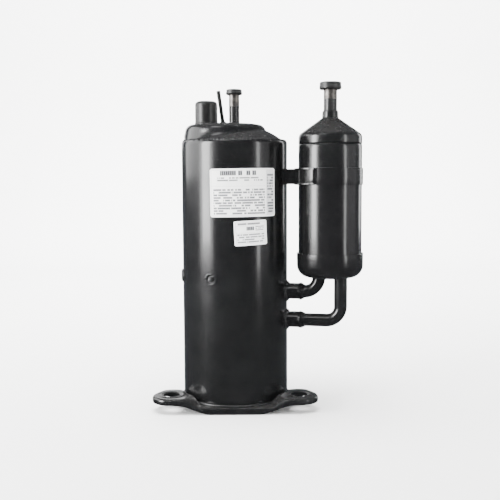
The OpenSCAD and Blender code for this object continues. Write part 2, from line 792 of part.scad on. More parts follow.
module rotor_end_plates() color("#b9b9b4") crank_frame()
    for (z = [stack_z - end_plate_t, stack_z + stack_h]) translate([0, 0, z])
        linear_extrude(end_plate_t) difference() {
            circle(rotor_r - 1);
            circle(shaft_r + 1);
            for (i = [0 : 5]) rotate(60 * i) translate([rivet_circle_r, 0]) circle(rivet_r + seat);
        }

weight_in_r = hub_r + 1.5;

module balance_weight(z, from) difference() {
    sector(weight_in_r, rotor_r - 3 - weight_in_r, z, weight_h, from, 180);
    for (i = [0 : 5]) rotate([0, 0, 60 * i]) translate([rivet_circle_r, 0, z - over])
        cylinder(r = rivet_r + seat, h = weight_h + 2 * over);
}

weight_low_z = stack_z - end_plate_t - weight_h;
weight_high_z = stack_z + stack_h + end_plate_t;

module balance_weights() color("#a98b4e") crank_frame() {
    balance_weight(weight_low_z, 90);
    balance_weight(weight_high_z, -90);
}

module rotor_rivets() color("#c2c2bd") crank_frame() for (i = [0 : 5]) {
    low = stack_z - end_plate_t - (i > 1 && i < 5 ? weight_h : 0);
    high = stack_z + stack_h + end_plate_t + (i > 1 && i < 5 ? 0 : weight_h);
    rotate([0, 0, 60 * i]) translate([rivet_circle_r, 0, low]) {
        cylinder(r = rivet_r, h = high - low);
        translate([0, 0, -1]) cylinder(r = rivet_r + 0.8, h = 1);
        translate([0, 0, high - low]) cylinder(r = rivet_r + 0.8, h = 1);
    }
}

// ---- pump ----

module at_bolts() for (a = bolt_angles) rotate([0, 0, a]) translate([bolt_circle_r, 0, 0]) children();
module at_screws() for (a = screw_angles) rotate([0, 0, a]) translate([muffler_r + 3.5, 0, 0])
    children();

// flange and hub of a bearing, from the cylinder's face outwards
module bearing(flange_r, flange_t, hub_h) difference() {
    translate([0, 0, cylinder_top]) {
        cylinder(r = flange_r, h = flange_t);
        cylinder(r = hub_r, h = flange_t + hub_h);
    }
    translate([0, 0, cylinder_top - over]) {
        cylinder(r = shaft_r + running_gap, h = flange_t + hub_h + 2 * over);
        at_bolts() cylinder(d = bolt_d + 0.4, h = flange_t + 2 * over);
        at_port() cylinder(r = port_r, h = flange_t + 2 * over);
        at_port() translate([reed_length, 0, 0]) cylinder(r = reed_rivet_r + seat, h = flange_t + 2 * over);
        at_screws() cylinder(d = screw_d + 2 * seat, h = flange_t + 2 * over);
    }
}

module main_bearing() color("#5c5f61") pump_upper() difference() {
    bearing(shell_ir - 0.25, main_flange_t, stack_z - 8 - pump_z - main_face);
    for (a = [20, 55, 85, 120, 150, 185, 215, 245, 275, 310, 340]) rotate([0, 0, a])
        translate([shell_ir - 6, 0, 0]) cylinder(r = 3.4, h = main_face + over);
}

module sub_bearing() color("#5c5f61") pump_lower()
    bearing(cylinder_od / 2 - 1, sub_flange_t, 20);

module pump_cylinder() difference() {
    translate([0, 0, mid_plate_t / 2]) cylinder(d = cylinder_od, h = cylinder_h);
    cylinder(r = bore_r, h = cylinder_top + over);
    translate([0, 0, pipe_drop]) {
        along_radius(0) cylinder(r = 4.2, h = cylinder_od);
        along_radius(bore_r + bush_seat - seat) cylinder(r = bush_r + seat, h = cylinder_od);
        rotate([0, 0, vane_angle]) along_radius(bore_r + vane_length - 1)
            cylinder(r = spring_bore_r, h = cylinder_od);
    }
    rotate([0, 0, vane_angle]) translate([bore_r - 2, -vane_t / 2 - running_gap, 0])
        cube([vane_length + 7, vane_t + 2 * running_gap, cylinder_top + over]);
    at_bolts() cylinder(d = bolt_d + 0.4, h = cylinder_top + over);
}

module upper_cylinder() color("#54585a") pump_upper() pump_cylinder();
module lower_cylinder() color("#54585a") pump_lower() pump_cylinder();

module middle_plate() color("#606466") pump_upper() translate([0, 0, -mid_plate_t / 2])
    linear_extrude(mid_plate_t) difference() {
        circle(d = cylinder_od - 2);
        circle(d = eccentric_d + 0.6);
        at_bolts() circle(d = bolt_d + 0.4);
    }

module roller(x) crank_frame() translate([x, 0, pump_z + (x > 0 ? 1 : -1) * pipe_drop])
    difference() {
        cylinder(r = roller_r, h = cylinder_h - 2 * running_gap, center = true);
        cylinder(d = eccentric_d + 2 * running_gap, h = cylinder_h, center = true);
    }

module roller_upper() color("#a3a7a9") roller(eccentricity);
module roller_lower() color("#a3a7a9") roller(-eccentricity);

// vane drawn back flush with the bore
module vane() rotate([0, 0, vane_angle])
    translate([bore_r + 0.05, -vane_t / 2, mid_plate_t / 2 + running_gap])
        cube([vane_length, vane_t, cylinder_h - 2 * running_gap]);

module vane_upper() color("#c4c7c9") pump_upper() vane();
module vane_lower() color("#c4c7c9") pump_lower() vane();

spring_from = bore_r + 0.05 + vane_length + 0.1;
spring_length = cylinder_od / 2 - spring_from - 0.6;
spring_turns = 6;
spring_wire_r = 0.45;

module vane_spring() rotate([0, 0, vane_angle]) translate([spring_from + spring_wire_r, 0, pipe_drop])
    wire([for (i = [0 : 14 * spring_turns]) [
        (spring_length - 2 * spring_wire_r) * i / (14 * spring_turns),
        3.4 * cos(360 * i / 14), 3.4 * sin(360 * i / 14)]], spring_wire_r, 6, [1, 0, 0]);

module vane_spring_upper() color("#c9c9c4") pump_upper() vane_spring();
module vane_spring_lower() color("#c9c9c4") pump_lower() vane_spring();

// thin leaf over the discharge port, riveted at its far end
module reed(face) at_port() translate([0, 0, face]) linear_extrude(reed_t) difference() {
    union() {
        circle(reed_w / 2 + 1);
        translate([0, -reed_w / 2]) square([reed_length, reed_w]);
        translate([reed_length, 0]) circle(reed_w / 2);
    }
    translate([reed_length, 0]) circle(reed_rivet_r + seat);
}

module discharge_reed_upper() color("#d2d4d5") pump_upper() reed(main_face);
module discharge_reed_lower() color("#d2d4d5") pump_lower() reed(sub_face);

// curved-up plate that limits the reed's lift
module valve_stop(face) at_port() translate([0, 0, face + reed_t]) difference() {
    rotate([90, 0, 0]) translate([0, 0, -reed_w / 2]) linear_extrude(reed_w) {
        lift = (reed_length - clamp_length + 4) * tan(stop_rise);
        polygon([[-4, lift], [reed_length - clamp_length, 0], [reed_length + 3.5, 0],
            [reed_length + 3.5, stop_t], [reed_length - clamp_length, stop_t], [-4, lift + stop_t]]);
    }
    translate([reed_length, 0, -over]) cylinder(r = reed_rivet_r + seat, h = 5);
}

module valve_stops() color("#8b8f92") {
    pump_upper() valve_stop(main_face);
    pump_lower() valve_stop(sub_face);
}

module valve_rivet(face, t) at_port() translate([reed_length, 0, face]) {
    translate([0, 0, -t + 1]) cylinder(r = reed_rivet_r, h = t - 1 + reed_t + stop_t);
    translate([0, 0, reed_t + stop_t]) cylinder(r = 2.6, h = 1.2);
}

module valve_rivets() color("#b9b9b4") {
    pump_upper() valve_rivet(main_face, main_flange_t);
    pump_lower() valve_rivet(sub_face, sub_flange_t);
}

// pressed cup over a bearing's flange that quietens the discharge
module muffler(face) difference() {
    translate([0, 0, face + muffler_h]) mirror([0, 0, 1]) rotate_extrude() difference() {
        union() {
            cup_section(muffler_r, muffler_h, 6);
            translate([0, muffler_h - muffler_t]) square([muffler_r + 7, muffler_t]);
        }
        translate([0, muffler_t]) cup_section(muffler_r - muffler_t, muffler_h, 6 - muffler_t);
        square([hub_r + 0.5, muffler_h]);
    }
    at_screws() translate([0, 0, face - over]) cylinder(d = screw_d + 2 * seat, h = 4);
    for (a = [60, 240]) rotate([0, 0, a]) translate([27, 0, face + 5]) cylinder(r = 4, h = muffler_h);
}

module upper_muffler() color("#7d8182") pump_upper() muffler(main_face);
module lower_muffler() color("#7d8182") pump_lower() muffler(sub_face);

module pump_bolts() color("#3f4244") pump_upper() at_bolts() {
    translate([0, 0, -sub_face]) cylinder(d = bolt_d, h = sub_face + main_face);
    translate([0, 0, main_face]) cylinder(r = 5, h = 5, $fn = 6);
}

module muffler_screw(face, t) at_screws() translate([0, 0, face]) {
    translate([0, 0, -t + 1]) cylinder(d = screw_d, h = t - 1 + muffler_t);
    translate([0, 0, muffler_t]) cylinder(r = 3.2, h = 2.5, $fn = 6);
}

module muffler_screws() color("#3f4244") {
    pump_upper() muffler_screw(main_face, main_flange_t);
    pump_lower() muffler_screw(sub_face, sub_flange_t);
}

main_shell();
top_lid();
bottom_cap();
mounting_plate();
seam_welds();
plug_welds();
spec_label();
serial_label();
terminal_body();
terminal_glass();
terminal_pins();
terminal_cover();
cover_stud();
discharge_pipe();
discharge_plug();
suction_collars();
collar_welds();
suction_pipe_upper();
suction_pipe_lower();
suction_bushes();
pipe_brazing();
accumulator_top();
accumulator_body();
accumulator_base();
accumulator_screen();
standpipe_support();
inlet_pipe();
suction_plug();
accumulator_bracket();
accumulator_strap();
stator_core();
stator_windings();
winding_insulators();
lead_wires();
crankshaft();
rotor_core();
rotor_magnets();
rotor_end_plates();
balance_weights();
rotor_rivets();
oil_paddle();
main_bearing();
sub_bearing();
upper_cylinder();
lower_cylinder();
middle_plate();
roller_upper();
roller_lower();
vane_upper();
vane_lower();
vane_spring_upper();
vane_spring_lower();
discharge_reed_upper();
discharge_reed_lower();
valve_stops();
valve_rivets();
upper_muffler();
lower_muffler();
pump_bolts();
muffler_screws();
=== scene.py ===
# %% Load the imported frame
import json
import math

import bmesh
import bpy
from mathutils import Matrix, Vector, noise


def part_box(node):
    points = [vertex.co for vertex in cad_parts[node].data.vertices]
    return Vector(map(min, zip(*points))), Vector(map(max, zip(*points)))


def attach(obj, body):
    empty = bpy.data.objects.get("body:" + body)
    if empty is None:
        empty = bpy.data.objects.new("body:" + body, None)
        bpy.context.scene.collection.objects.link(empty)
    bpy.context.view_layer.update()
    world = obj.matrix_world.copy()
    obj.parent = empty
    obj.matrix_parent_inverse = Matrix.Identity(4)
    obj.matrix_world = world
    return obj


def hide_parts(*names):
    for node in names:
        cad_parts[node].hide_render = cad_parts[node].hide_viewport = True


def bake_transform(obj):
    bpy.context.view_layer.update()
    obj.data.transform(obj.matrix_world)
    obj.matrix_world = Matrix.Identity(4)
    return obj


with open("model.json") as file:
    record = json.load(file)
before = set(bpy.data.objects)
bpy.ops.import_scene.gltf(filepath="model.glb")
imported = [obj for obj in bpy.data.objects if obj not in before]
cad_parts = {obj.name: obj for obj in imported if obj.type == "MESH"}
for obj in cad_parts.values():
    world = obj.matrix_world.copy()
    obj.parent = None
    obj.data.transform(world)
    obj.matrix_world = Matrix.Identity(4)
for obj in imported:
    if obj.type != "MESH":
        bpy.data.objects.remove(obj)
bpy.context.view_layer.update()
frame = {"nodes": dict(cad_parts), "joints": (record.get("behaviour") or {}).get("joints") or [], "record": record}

# %% [markdown]
# # A refrigeration rotary compressor
# The frame holds every solid of the compressor at its real place and size. This lesson
# gives it its looks: rounded pressings, rough weld beads, glossy black enamel, printed
# labels, bare metal at the pipe ends and moulded plugs. Places and main sizes are read
# from the frame. Small sizes, such as sheet thicknesses and roundings, are given in metres
# where they are used.

# %% Read the sizes that the pieces need
ROOT = "compressor"


def low(node):
    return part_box(node)[0]


def high(node):
    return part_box(node)[1]


def middle(node):
    return (low(node) + high(node)) / 2


def width(node):
    return high(node).x - low(node).x


mounts = {m["name"]: m for m in frame["record"]["mounts"]}
stub_r = mounts["discharge_stub"]["dims"]["r_mm"] / 1000
inlet_r = mounts["suction_inlet"]["dims"]["r_mm"] / 1000
foot_circle_r = mounts["mounting_feet"]["dims"]["pcd_mm"] / 2000
foot_hole_r = mounts["mounting_feet"]["dims"]["hole_r_mm"] / 1000

shell_r = (high("main_shell").y - low("main_shell").y) / 2
shell_foot, shell_top = low("main_shell").z, high("main_shell").z
lid_top = high("top_lid").z
acc_axis = Vector((*mounts["suction_inlet"]["pos_m"][:2], 0))
acc_away = acc_axis.length
acc_angle = math.atan2(acc_axis.y, acc_axis.x)
acc_r = width("accumulator_body") / 2
print(f"shell {2000 * shell_r:.1f} mm across, accumulator {2000 * acc_r:.1f} mm")

# %% [markdown]
# ## Writing shader maths as Python
# A material is a graph of nodes, and sums built by hand in that graph are hard to read.
# One small class wraps a number socket, so that `1 - mask` or `a * b` adds the Math node
# that it means. Every other node comes from one method, which takes the node's type, its
# settings and the values or links of its sockets.

# %% A number that can be written in a sum


class Number:
    """A number socket that adds Math nodes when it is used in an expression."""

    def __init__(self, finish, socket):
        self.finish, self.socket = finish, socket

    def using(self, operation, *values):
        return self.finish.node("ShaderNodeMath", {"operation": operation}, dict(enumerate(values)))

    def __add__(self, other):
        return self.using("ADD", self, other)

    def __sub__(self, other):
        return self.using("SUBTRACT", self, other)

    def __rsub__(self, other):
        return self.using("SUBTRACT", other, self)

    def __mul__(self, other):
        return self.using("MULTIPLY", self, other)

    def __gt__(self, other):
        return self.using("GREATER_THAN", self, other)

    def __lt__(self, other):
        return self.using("LESS_THAN", self, other)

    __radd__, __rmul__ = __add__, __mul__

    def floor(self):
        return self.using("FLOOR", self)

    def fraction(self):
        return self.using("FRACT", self)

    def between(self, start, end):
        """Climbs smoothly from 0 at start to 1 at end."""
        return self.finish.node("ShaderNodeMapRange", {"interpolation_type": "SMOOTHSTEP"},
                                {"Value": self, "From Min": start, "From Max": end})


# %% A finish, which is one material and its nodes


class Finish:
    """One material, with the tools to build its nodes."""

    def __init__(self, name, colour, roughness, metallic=0.0, **shader):
        self.material = bpy.data.materials.new(name)
        self.material.use_nodes = True
        self.tree = self.material.node_tree
        self.skin = self.tree.nodes["Principled BSDF"]
        self.material.diffuse_color = (*colour, 1)
        self.set("Base Color", (*colour, 1))
        self.set("Roughness", roughness)
        self.set("Metallic", metallic)
        for socket, value in shader.items():
            self.set(socket.replace("_", " "), value)
        self.place = self.node("ShaderNodeTexCoord", out="Object")

    def set(self, socket, value):
        self.plug(self.skin.inputs[socket], value)

    def plug(self, socket, value):
        value = getattr(value, "socket", value)
        if isinstance(value, bpy.types.NodeSocket):
            self.tree.links.new(value, socket)
        else:
            socket.default_value = value

    def node(self, kind, settings=None, sockets=None, out=0):
        made = self.tree.nodes.new(kind)
        for key, value in (settings or {}).items():
            if key == "stops":
                for stop, (at, colour) in zip(self.ramp_stops(made, len(value)), value):
                    stop.position, stop.color = at, colour
            else:
                setattr(made, key, value)
        for key, value in (sockets or {}).items():
            self.plug(made.inputs[key], value)
        return Number(self, made.outputs[out])

    @staticmethod
    def ramp_stops(made, count):
        while len(made.color_ramp.elements) < count:
            made.color_ramp.elements.new(1.0)
        return made.color_ramp.elements

    def noise(self, scale, detail=3.0, roughness=0.55, at=None):
        return self.node("ShaderNodeTexNoise", {},
                         {"Vector": at or self.place, "Scale": scale, "Detail": detail,
                          "Roughness": roughness})

    def mix(self, factor, a, b):
        """Mixes two colours."""
        return self.node("ShaderNodeMix", {"data_type": "RGBA"}, {0: factor, 6: a, 7: b}, out=2)

    def along(self, axis):
        """A coordinate of the row's frame, in metres."""
        return self.node("ShaderNodeSeparateXYZ", {}, {0: self.place}, out="XYZ".index(axis))

    def bump(self, height, depth, over=None):
        sockets = {"Strength": 1.0, "Distance": depth, "Height": height}
        if over is not None:
            sockets["Normal"] = over
        return self.node("ShaderNodeBump", {}, sockets)


def grey(level, warm=0.0):
    return (level * (1 + warm), level, level * (1 - warm), 1)


print("shader tools ready")

# %% [markdown]
# ## The black enamel
# The shell, the accumulator and the pipes are dipped in one coat of black enamel. On the
# real thing it is glossy with a faint orange peel, a little browner where it ran thin,
# and dusty on the faces that look up. A single black would look like plastic, so the
# colour, the gloss and the fine waves of the surface each get a pattern at its own scale.

# %% Enamel, and the same enamel over rough metal


def dust_on_top(finish):
    """Faces that look up hold more dust: 1 on a flat top, 0 on a wall."""
    facing = finish.node("ShaderNodeNewGeometry", out="Normal")
    up = finish.node("ShaderNodeSeparateXYZ", {}, {0: facing}, out=2)
    return up.between(0.25, 1.0)


def enamel(name, level=0.0050, gloss=0.20, peel=0.00006, grit=0.0):
    finish = Finish(name, (level, level, level), gloss, Coat_Weight=0.35, Coat_Roughness=0.09,
                    Specular_IOR_Level=0.4)
    cloud = finish.noise(14, 4)
    thin = finish.noise(55, 5, 0.6).between(0.42, 0.75)
    speck = finish.noise(1900, 2).between(0.7, 0.78)
    dust = dust_on_top(finish) * (0.25 + 0.5 * finish.noise(160, 4))
    paint = finish.mix(cloud.between(0.35, 0.7), grey(level * 0.85, -0.03), grey(level * 1.2, -0.05))
    paint = finish.mix(thin * 0.2, paint, grey(level * 2.0))
    paint = finish.mix(dust * 0.07, paint, grey(0.2, 0.05))
    paint = finish.mix(speck * 0.25, paint, grey(0.16))
    finish.set("Base Color", paint)
    smear = finish.noise(38, 4).between(0.3, 0.75)
    finish.set("Roughness", gloss + 0.07 * smear + 0.09 * dust + 0.1 * speck)
    waves = finish.bump(finish.noise(430, 2), peel)
    if grit:
        waves = finish.bump(finish.noise(900, 6, 0.7), grit, over=waves)
    finish.set("Normal", waves)
    return finish


shell_enamel = enamel("shell_enamel")
pipe_enamel = enamel("pipe_enamel", 0.0055, 0.2, 0.00004)
plate_enamel = enamel("plate_enamel", 0.0055, 0.2, 0.00008, grit=0.00002)
weld_enamel = enamel("weld_enamel", 0.009, 0.11, 0.00016, grit=0.00008)
print("enamels:", [m.name for m in bpy.data.materials if "enamel" in m.name])

# %% [markdown]
# ## Pipe ends that the enamel stops short of
# The stubs are masked while the paint goes on, so their last stretch is bare metal with a
# ragged paint edge, some heat tint and drawing lines round the tube. One material does
# both: a wavering height decides, point by point, whether the surface is paint or metal.

# %% Painted below, bare above


def masked_pipe(name, paint_end, level=0.011):
    finish = Finish(name, (level, level, level), 0.25)
    ragged = finish.along("Z") + 0.0016 * finish.noise(210, 3) + 0.0009 * finish.noise(900, 2)
    bare = ragged.between(paint_end + 0.0008, paint_end + 0.0017)
    rings = finish.node("ShaderNodeTexNoise", {},
                        {"Vector": finish.node("ShaderNodeVectorMath", {"operation": "MULTIPLY"},
                                               {0: finish.place, 1: (60, 60, 4200)}),
                         "Scale": 1.0, "Detail": 3.0})
    tint = finish.mix(finish.noise(120, 4).between(0.35, 0.7), (0.10, 0.094, 0.088, 1),
                      (0.22, 0.205, 0.19, 1))
    tint = finish.mix(finish.noise(420, 4).between(0.55, 0.75) * 0.5, tint, (0.05, 0.04, 0.032, 1))
    finish.set("Base Color", finish.mix(bare, grey(level), tint))
    finish.set("Metallic", bare * 0.95)
    finish.set("Roughness", 0.25 + bare * (0.08 + 0.16 * rings))
    ripples = finish.bump(finish.noise(500, 2), 0.00004)
    finish.set("Normal", finish.bump(rings * bare, 0.00003, over=ripples))
    return finish


stub_finish = masked_pipe("discharge_stub_metal", high("discharge_pipe").z - 0.0142)
inlet_finish = masked_pipe("inlet_stub_metal", high("inlet_pipe").z - 0.0112)
print("masked pipes made")

# %% [markdown]
# ## Moulded plugs and cover
# The plugs and the terminal cover are black moulded plastic: duller than the enamel, with
# a fine matt grain, rubbed shiny where hands push them on, and a trace of pale dust.

# %% Moulded plastic


def moulding(name, level, roughness, grain):
    finish = Finish(name, (level, level, level), roughness)
    cloud = finish.noise(90, 4)
    dust = dust_on_top(finish) * finish.noise(420, 4)
    rubbed = finish.noise(150, 3).between(0.5, 0.75)
    base = finish.mix(cloud, grey(level * 0.8), grey(level * 1.3))
    finish.set("Base Color", finish.mix(dust * 0.3, base, grey(0.13)))
    finish.set("Roughness", roughness - 0.14 * rubbed + 0.15 * dust)
    finish.set("Normal", finish.bump(finish.noise(2600, 3), grain))
    return finish


plug_plastic = moulding("plug_plastic", 0.010, 0.42, 0.00003)
cover_plastic = moulding("cover_plastic", 0.006, 0.36, 0.00002)
print("plastics made")

# %% [markdown]
# ## Metals and the rest of the inside
# The motor and pump inside the shell are never painted. Their finishes differ by how they
# are made: laminations show as fine lines up the stack, ground castings as a faint
# mottle, turned steel as rings, and enamelled copper as a coil of fine turns. One helper
# makes them all from a colour, a roughness and the direction of the fine lines.

# %% Worked metals, glass and sleeves


def worked(name, colour, roughness, lines, metallic=1.0, depth=0.00002, stain=(0.08, 0.06, 0.045, 1)):
    """A bare surface whose fine lines are stretched by the three scales in lines."""
    finish = Finish(name, colour, roughness, metallic)
    stretched = finish.node("ShaderNodeVectorMath", {"operation": "MULTIPLY"},
                            {0: finish.place, 1: lines})
    line = finish.noise(1.0, 3, at=stretched)
    patch = finish.noise(70, 5).between(0.52, 0.8)
    darker = tuple(0.78 * c for c in colour) + (1,)
    lighter = tuple(min(1, 1.15 * c) for c in colour) + (1,)
    tone = finish.mix(line, darker, lighter)
    finish.set("Base Color", finish.mix(patch * 0.35, tone, stain))
    finish.set("Roughness", roughness + 0.14 * line + 0.12 * patch)
    finish.set("Normal", finish.bump(line, depth))
    return finish


ROUND, UP, EVEN = (120, 120, 3000), (90, 90, 9000), (900, 900, 900)
by_slot = {
    "black_enamel": shell_enamel,
    "painted_weld": weld_enamel,
    "black_plastic": plug_plastic,
    "bare_steel": worked("turned_steel", (0.56, 0.56, 0.55), 0.28, ROUND),
    "blackened_steel": worked("blackened_steel", (0.07, 0.07, 0.072), 0.42, EVEN),
    "lamination_steel": worked("lamination_steel", (0.36, 0.37, 0.39), 0.42, UP, depth=0.00008),
    "magnet": worked("magnet_plating", (0.33, 0.33, 0.34), 0.3, EVEN),
    "copper_wire": worked("enamelled_wire", (0.72, 0.27, 0.09), 0.3, UP, 0.9, 0.0003),
    "insulator_plastic": worked("bobbin_plastic", (0.80, 0.75, 0.62), 0.5, EVEN, 0.0,
                                stain=(0.5, 0.42, 0.3, 1)),
    "lead_sleeve": worked("braided_sleeve", (0.45, 0.07, 0.04), 0.6, ROUND, 0.0, 0.0001),
    "brass": worked("weight_brass", (0.72, 0.52, 0.22), 0.3, ROUND),
    "copper": worked("drawn_copper", (0.78, 0.38, 0.22), 0.26, ROUND),
    "cast_iron": worked("ground_iron", (0.25, 0.255, 0.26), 0.45, EVEN, 0.9, 0.00006),
    "sealing_glass": worked("sealing_glass", (0.05, 0.2, 0.16), 0.12, EVEN, 0.0,
                            stain=(0.02, 0.07, 0.06, 1)),
}
print("finishes by slot:", len(by_slot))

# %% [markdown]
# ## Printed labels
# A label is white film with fine printing. Real wording is left out: the rows are only
# rows of small dark blocks, grouped as words would be, which reads as print from where a
# person stands and says nothing from close up. Rows come from the label's own height,
# and a different random number in each small cell leaves the gaps.

# %% Print made from rows of blocks


def rows_of_print(finish, u, v, left, right, bottom, top, rows, ink, cell, seed):
    """A block of rows, 1 where there is ink. u and v run over the label in metres."""
    pitch = (top - bottom) / rows
    row = ((v - bottom) * (1 / pitch)).floor()
    in_row = ((v - bottom) * (1 / pitch)).fraction()
    band = in_row.between(0.5 - ink / 2 - 0.08, 0.5 - ink / 2 + 0.02) * (
        1 - in_row.between(0.5 + ink / 2 - 0.02, 0.5 + ink / 2 + 0.08))

    def chance(size, offset):
        cell_x = (u * (1 / size)).floor()
        spot = finish.node("ShaderNodeCombineXYZ", {}, {0: cell_x, 1: row, 2: offset})
        return finish.node("ShaderNodeTexWhiteNoise", {}, {"Vector": spot}, out="Value")

    letters = chance(cell, seed) > 0.14
    words = chance(cell * 5.3, seed + 4.5) > 0.12
    stroke = (u * (1 / cell)).fraction().between(0.02, 0.22)
    inside = (u > left) * (u < right) * (v > bottom) * (v < top)
    return band * letters * words * stroke * inside


def frame_line(finish, u, v, left, right, bottom, top, line):
    outer = (u > left) * (u < right) * (v > bottom) * (v < top)
    inner = (u > left + line) * (u < right - line) * (v > bottom + line) * (v < top - line)
    return outer * (1 - inner)


def label_film(name, tone, print_jobs, shade_jobs):
    finish = Finish(name, tone[:3], 0.34, Coat_Weight=0.35, Coat_Roughness=0.2)
    uv = finish.node("ShaderNodeTexCoord", out="UV")
    u = finish.node("ShaderNodeSeparateXYZ", {}, {0: uv}, out=0)
    v = finish.node("ShaderNodeSeparateXYZ", {}, {0: uv}, out=1)
    greyer = tuple(0.86 * c for c in tone[:3]) + (1,)
    film = finish.mix(finish.noise(60, 4).between(0.3, 0.8) * 0.35, tone, greyer)
    for strength, colour, area in shade_jobs:
        left, right, bottom, top = area
        inside = (u > left) * (u < right) * (v > bottom) * (v < top)
        film = finish.mix(inside * strength, film, colour)
    for strength, job in print_jobs:
        kind, *numbers = job
        film = finish.mix(kind(finish, u, v, *numbers) * strength, film, (0.035, 0.037, 0.045, 1))
    scuff = finish.noise(300, 5, 0.7).between(0.62, 0.8)
    finish.set("Base Color", finish.mix(scuff * 0.25, film, grey(0.35)))
    finish.set("Roughness", 0.34 + 0.2 * scuff)
    finish.set("Normal", finish.bump(finish.noise(180, 3), 0.00005))
    return finish


print("print tools ready")

# %% [markdown]
# ## Building meshes
# Most of a compressor is turned, pressed or drawn, so a few makers cover it. A lathe
# spins a half section, with each corner of the section rounded by its own radius first:
# a rounded edge is what catches the light. A tube follows a path. A weld bead is a ring
# of overlapping puddles whose size and height wander.

# %% From vertices to a piece that rides on a body


def piece(name, verts, faces, slot, finish, replaced=(), body=ROOT, smooth=40):
    mesh = bpy.data.meshes.new(name)
    mesh.from_pydata(verts, [], faces)
    bm = bmesh.new()
    bm.from_mesh(mesh)
    bmesh.ops.remove_doubles(bm, verts=bm.verts, dist=1e-7)
    bmesh.ops.recalc_face_normals(bm, faces=bm.faces)
    bm.to_mesh(mesh)
    bm.free()
    made = bpy.data.objects.new(name, mesh)
    bpy.context.scene.collection.objects.link(made)
    soften(made, smooth)
    mesh.materials.append(finish.material)
    if body:
        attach(made, body)
    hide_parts(*replaced)
    return made


def soften(made, angle):
    """Smooth shading, with edges sharper than the angle kept crisp."""
    made.data.shade_smooth()
    made.data.set_sharp_from_angle(angle=math.radians(angle))


def rounded(corners, steps=6):
    """A line of (r, z, rounding) corners with each corner turned into an arc."""
    line = []
    count = len(corners)
    for i, (x, y, radius) in enumerate(corners):
        here = Vector((x, y))
        before, after = (Vector(corners[j % count][:2]) for j in (i - 1, i + 1))
        if not radius:
            line.append((x, y))
            continue
        a, b = (before - here).normalized(), (after - here).normalized()
        half = a.angle(b) / 2
        reach = radius / math.tan(half)
        centre = here + (a + b).normalized() * radius / math.sin(half)
        start, end = here + a * reach - centre, here + b * reach - centre
        turn = start.angle_signed(end)
        line += [tuple(centre + Matrix.Rotation(-turn * k / steps, 2) @ start)
                 for k in range(steps + 1)]
    return line


def spin(section, segments, wander=None):
    """Vertices and faces of a closed half section spun round the Z axis."""
    count = len(section)
    verts = []
    for j in range(segments):
        a = 2 * math.pi * j / segments
        for r, z in section:
            p = Vector((r * math.cos(a), r * math.sin(a), z))
            verts.append(wander(p, a) if wander and r > 1e-6 else p)
    faces = []
    for j in range(segments):
        for i in range(count):
            a, b = j * count + i, j * count + (i + 1) % count
            c, d = (b + count) % len(verts), (a + count) % len(verts)
            if section[i][0] < 1e-6 and section[(i + 1) % count][0] < 1e-6:
                continue
            faces.append((a, b, c, d))
    return verts, faces


def lathe(name, corners, slot, finish, replaced=(), at=Vector(), aim=None, segments=160,
          wander=None, steps=6, **more):
    """Spins rounded corners into a piece whose axis passes through at and points along aim."""
    verts, faces = spin(rounded(corners, steps), segments, wander)
    turn = (aim or Vector((0, 0, 1))).to_track_quat("Z", "Y") if aim else Matrix.Identity(3).to_quaternion()
    return piece(name, [turn @ v + Vector(at) for v in verts], faces, slot, finish, replaced, **more)


print("mesh tools ready")

# %% [markdown]
# ## The shell tube
# The shell is a rolled and welded steel tube. Under gloss even a tenth of a millimetre of
# unevenness shows in the reflections, so the tube's radius wanders very slightly, as a
# rolled sheet does. It is a lathe of many rings, because a long smooth wall needs points
# along it before it can waver.

# %% Shell tube


def waver(p, a):
    """Moves a wall point in by a fraction of a millimetre, in soft patches."""
    soft = noise.noise(Vector((p.x * 9, p.y * 9, p.z * 6 + 3)))
    fine = noise.noise(Vector((p.x * 28, p.y * 28, p.z * 17 + 9)))
    push = -0.00009 - 0.00008 * soft - 0.000022 * fine
    flat = Vector((p.x, p.y, 0)).normalized()
    return p + flat * push


wall = shell_r - (high("top_lid").x - low("top_lid").x) / 2
levels = [shell_foot + (shell_top - shell_foot) * i / 70 for i in range(1, 70)]
outside = [(shell_r - 0.0004, shell_foot), (shell_r, shell_foot + 0.0004)]
outside += [(shell_r, z) for z in levels]
outside += [(shell_r, shell_top - 0.0004), (shell_r - 0.0004, shell_top)]
inside = [(shell_r - wall, shell_top), (shell_r - wall, shell_foot)]
verts, faces = spin(outside + inside, 288, waver)
piece("shell_tube", verts, faces, "black_enamel", shell_enamel, ["main_shell"], smooth=50)
print("shell_tube:", len(faces), "faces")

# %% [markdown]
# ## The pressed lid
# The lid is one pressing: a shallow dome with a flat plateau pushed up off its centre,
# blended by generous radii because the press can't make a sharp inside corner. A sheet
# of rings suits it. Each point's height is the higher of dome and plateau, joined by a
# smooth maximum, and the same sheet lowered by the wall closes the underside.

# %% Lid pressing
lid_r = width("top_lid") / 2
lid_wall = 0.0032
dome_r = 0.0955
dome_z = shell_top - math.sqrt(dome_r ** 2 - lid_r ** 2)
plateau_x, plateau_r, plateau_round = -0.011, 0.0495, 0.0085
blend_w = 0.0034


def smooth_max(a, b, w):
    h = max(0.0, min(1.0, 0.5 + (a - b) / (2 * w)))
    return b + (a - b) * h + w * h * (1 - h)


def lid_height(x, y):
    r2 = x * x + y * y
    dome = dome_z + math.sqrt(max(dome_r ** 2 - r2, 0))
    away = math.hypot(x - plateau_x, y) - (plateau_r - plateau_round)
    if away <= 0:
        plateau = lid_top
    elif away < plateau_round:
        plateau = lid_top - plateau_round + math.sqrt(plateau_round ** 2 - away ** 2)
    else:
        plateau = lid_top - plateau_round - 3.5 * (away - plateau_round)
    height = min(smooth_max(plateau, dome, blend_w), lid_top)
    ripple = 0.00007 * noise.noise(Vector((x * 30, y * 30, 2)))
    return height - 0.00008 + ripple


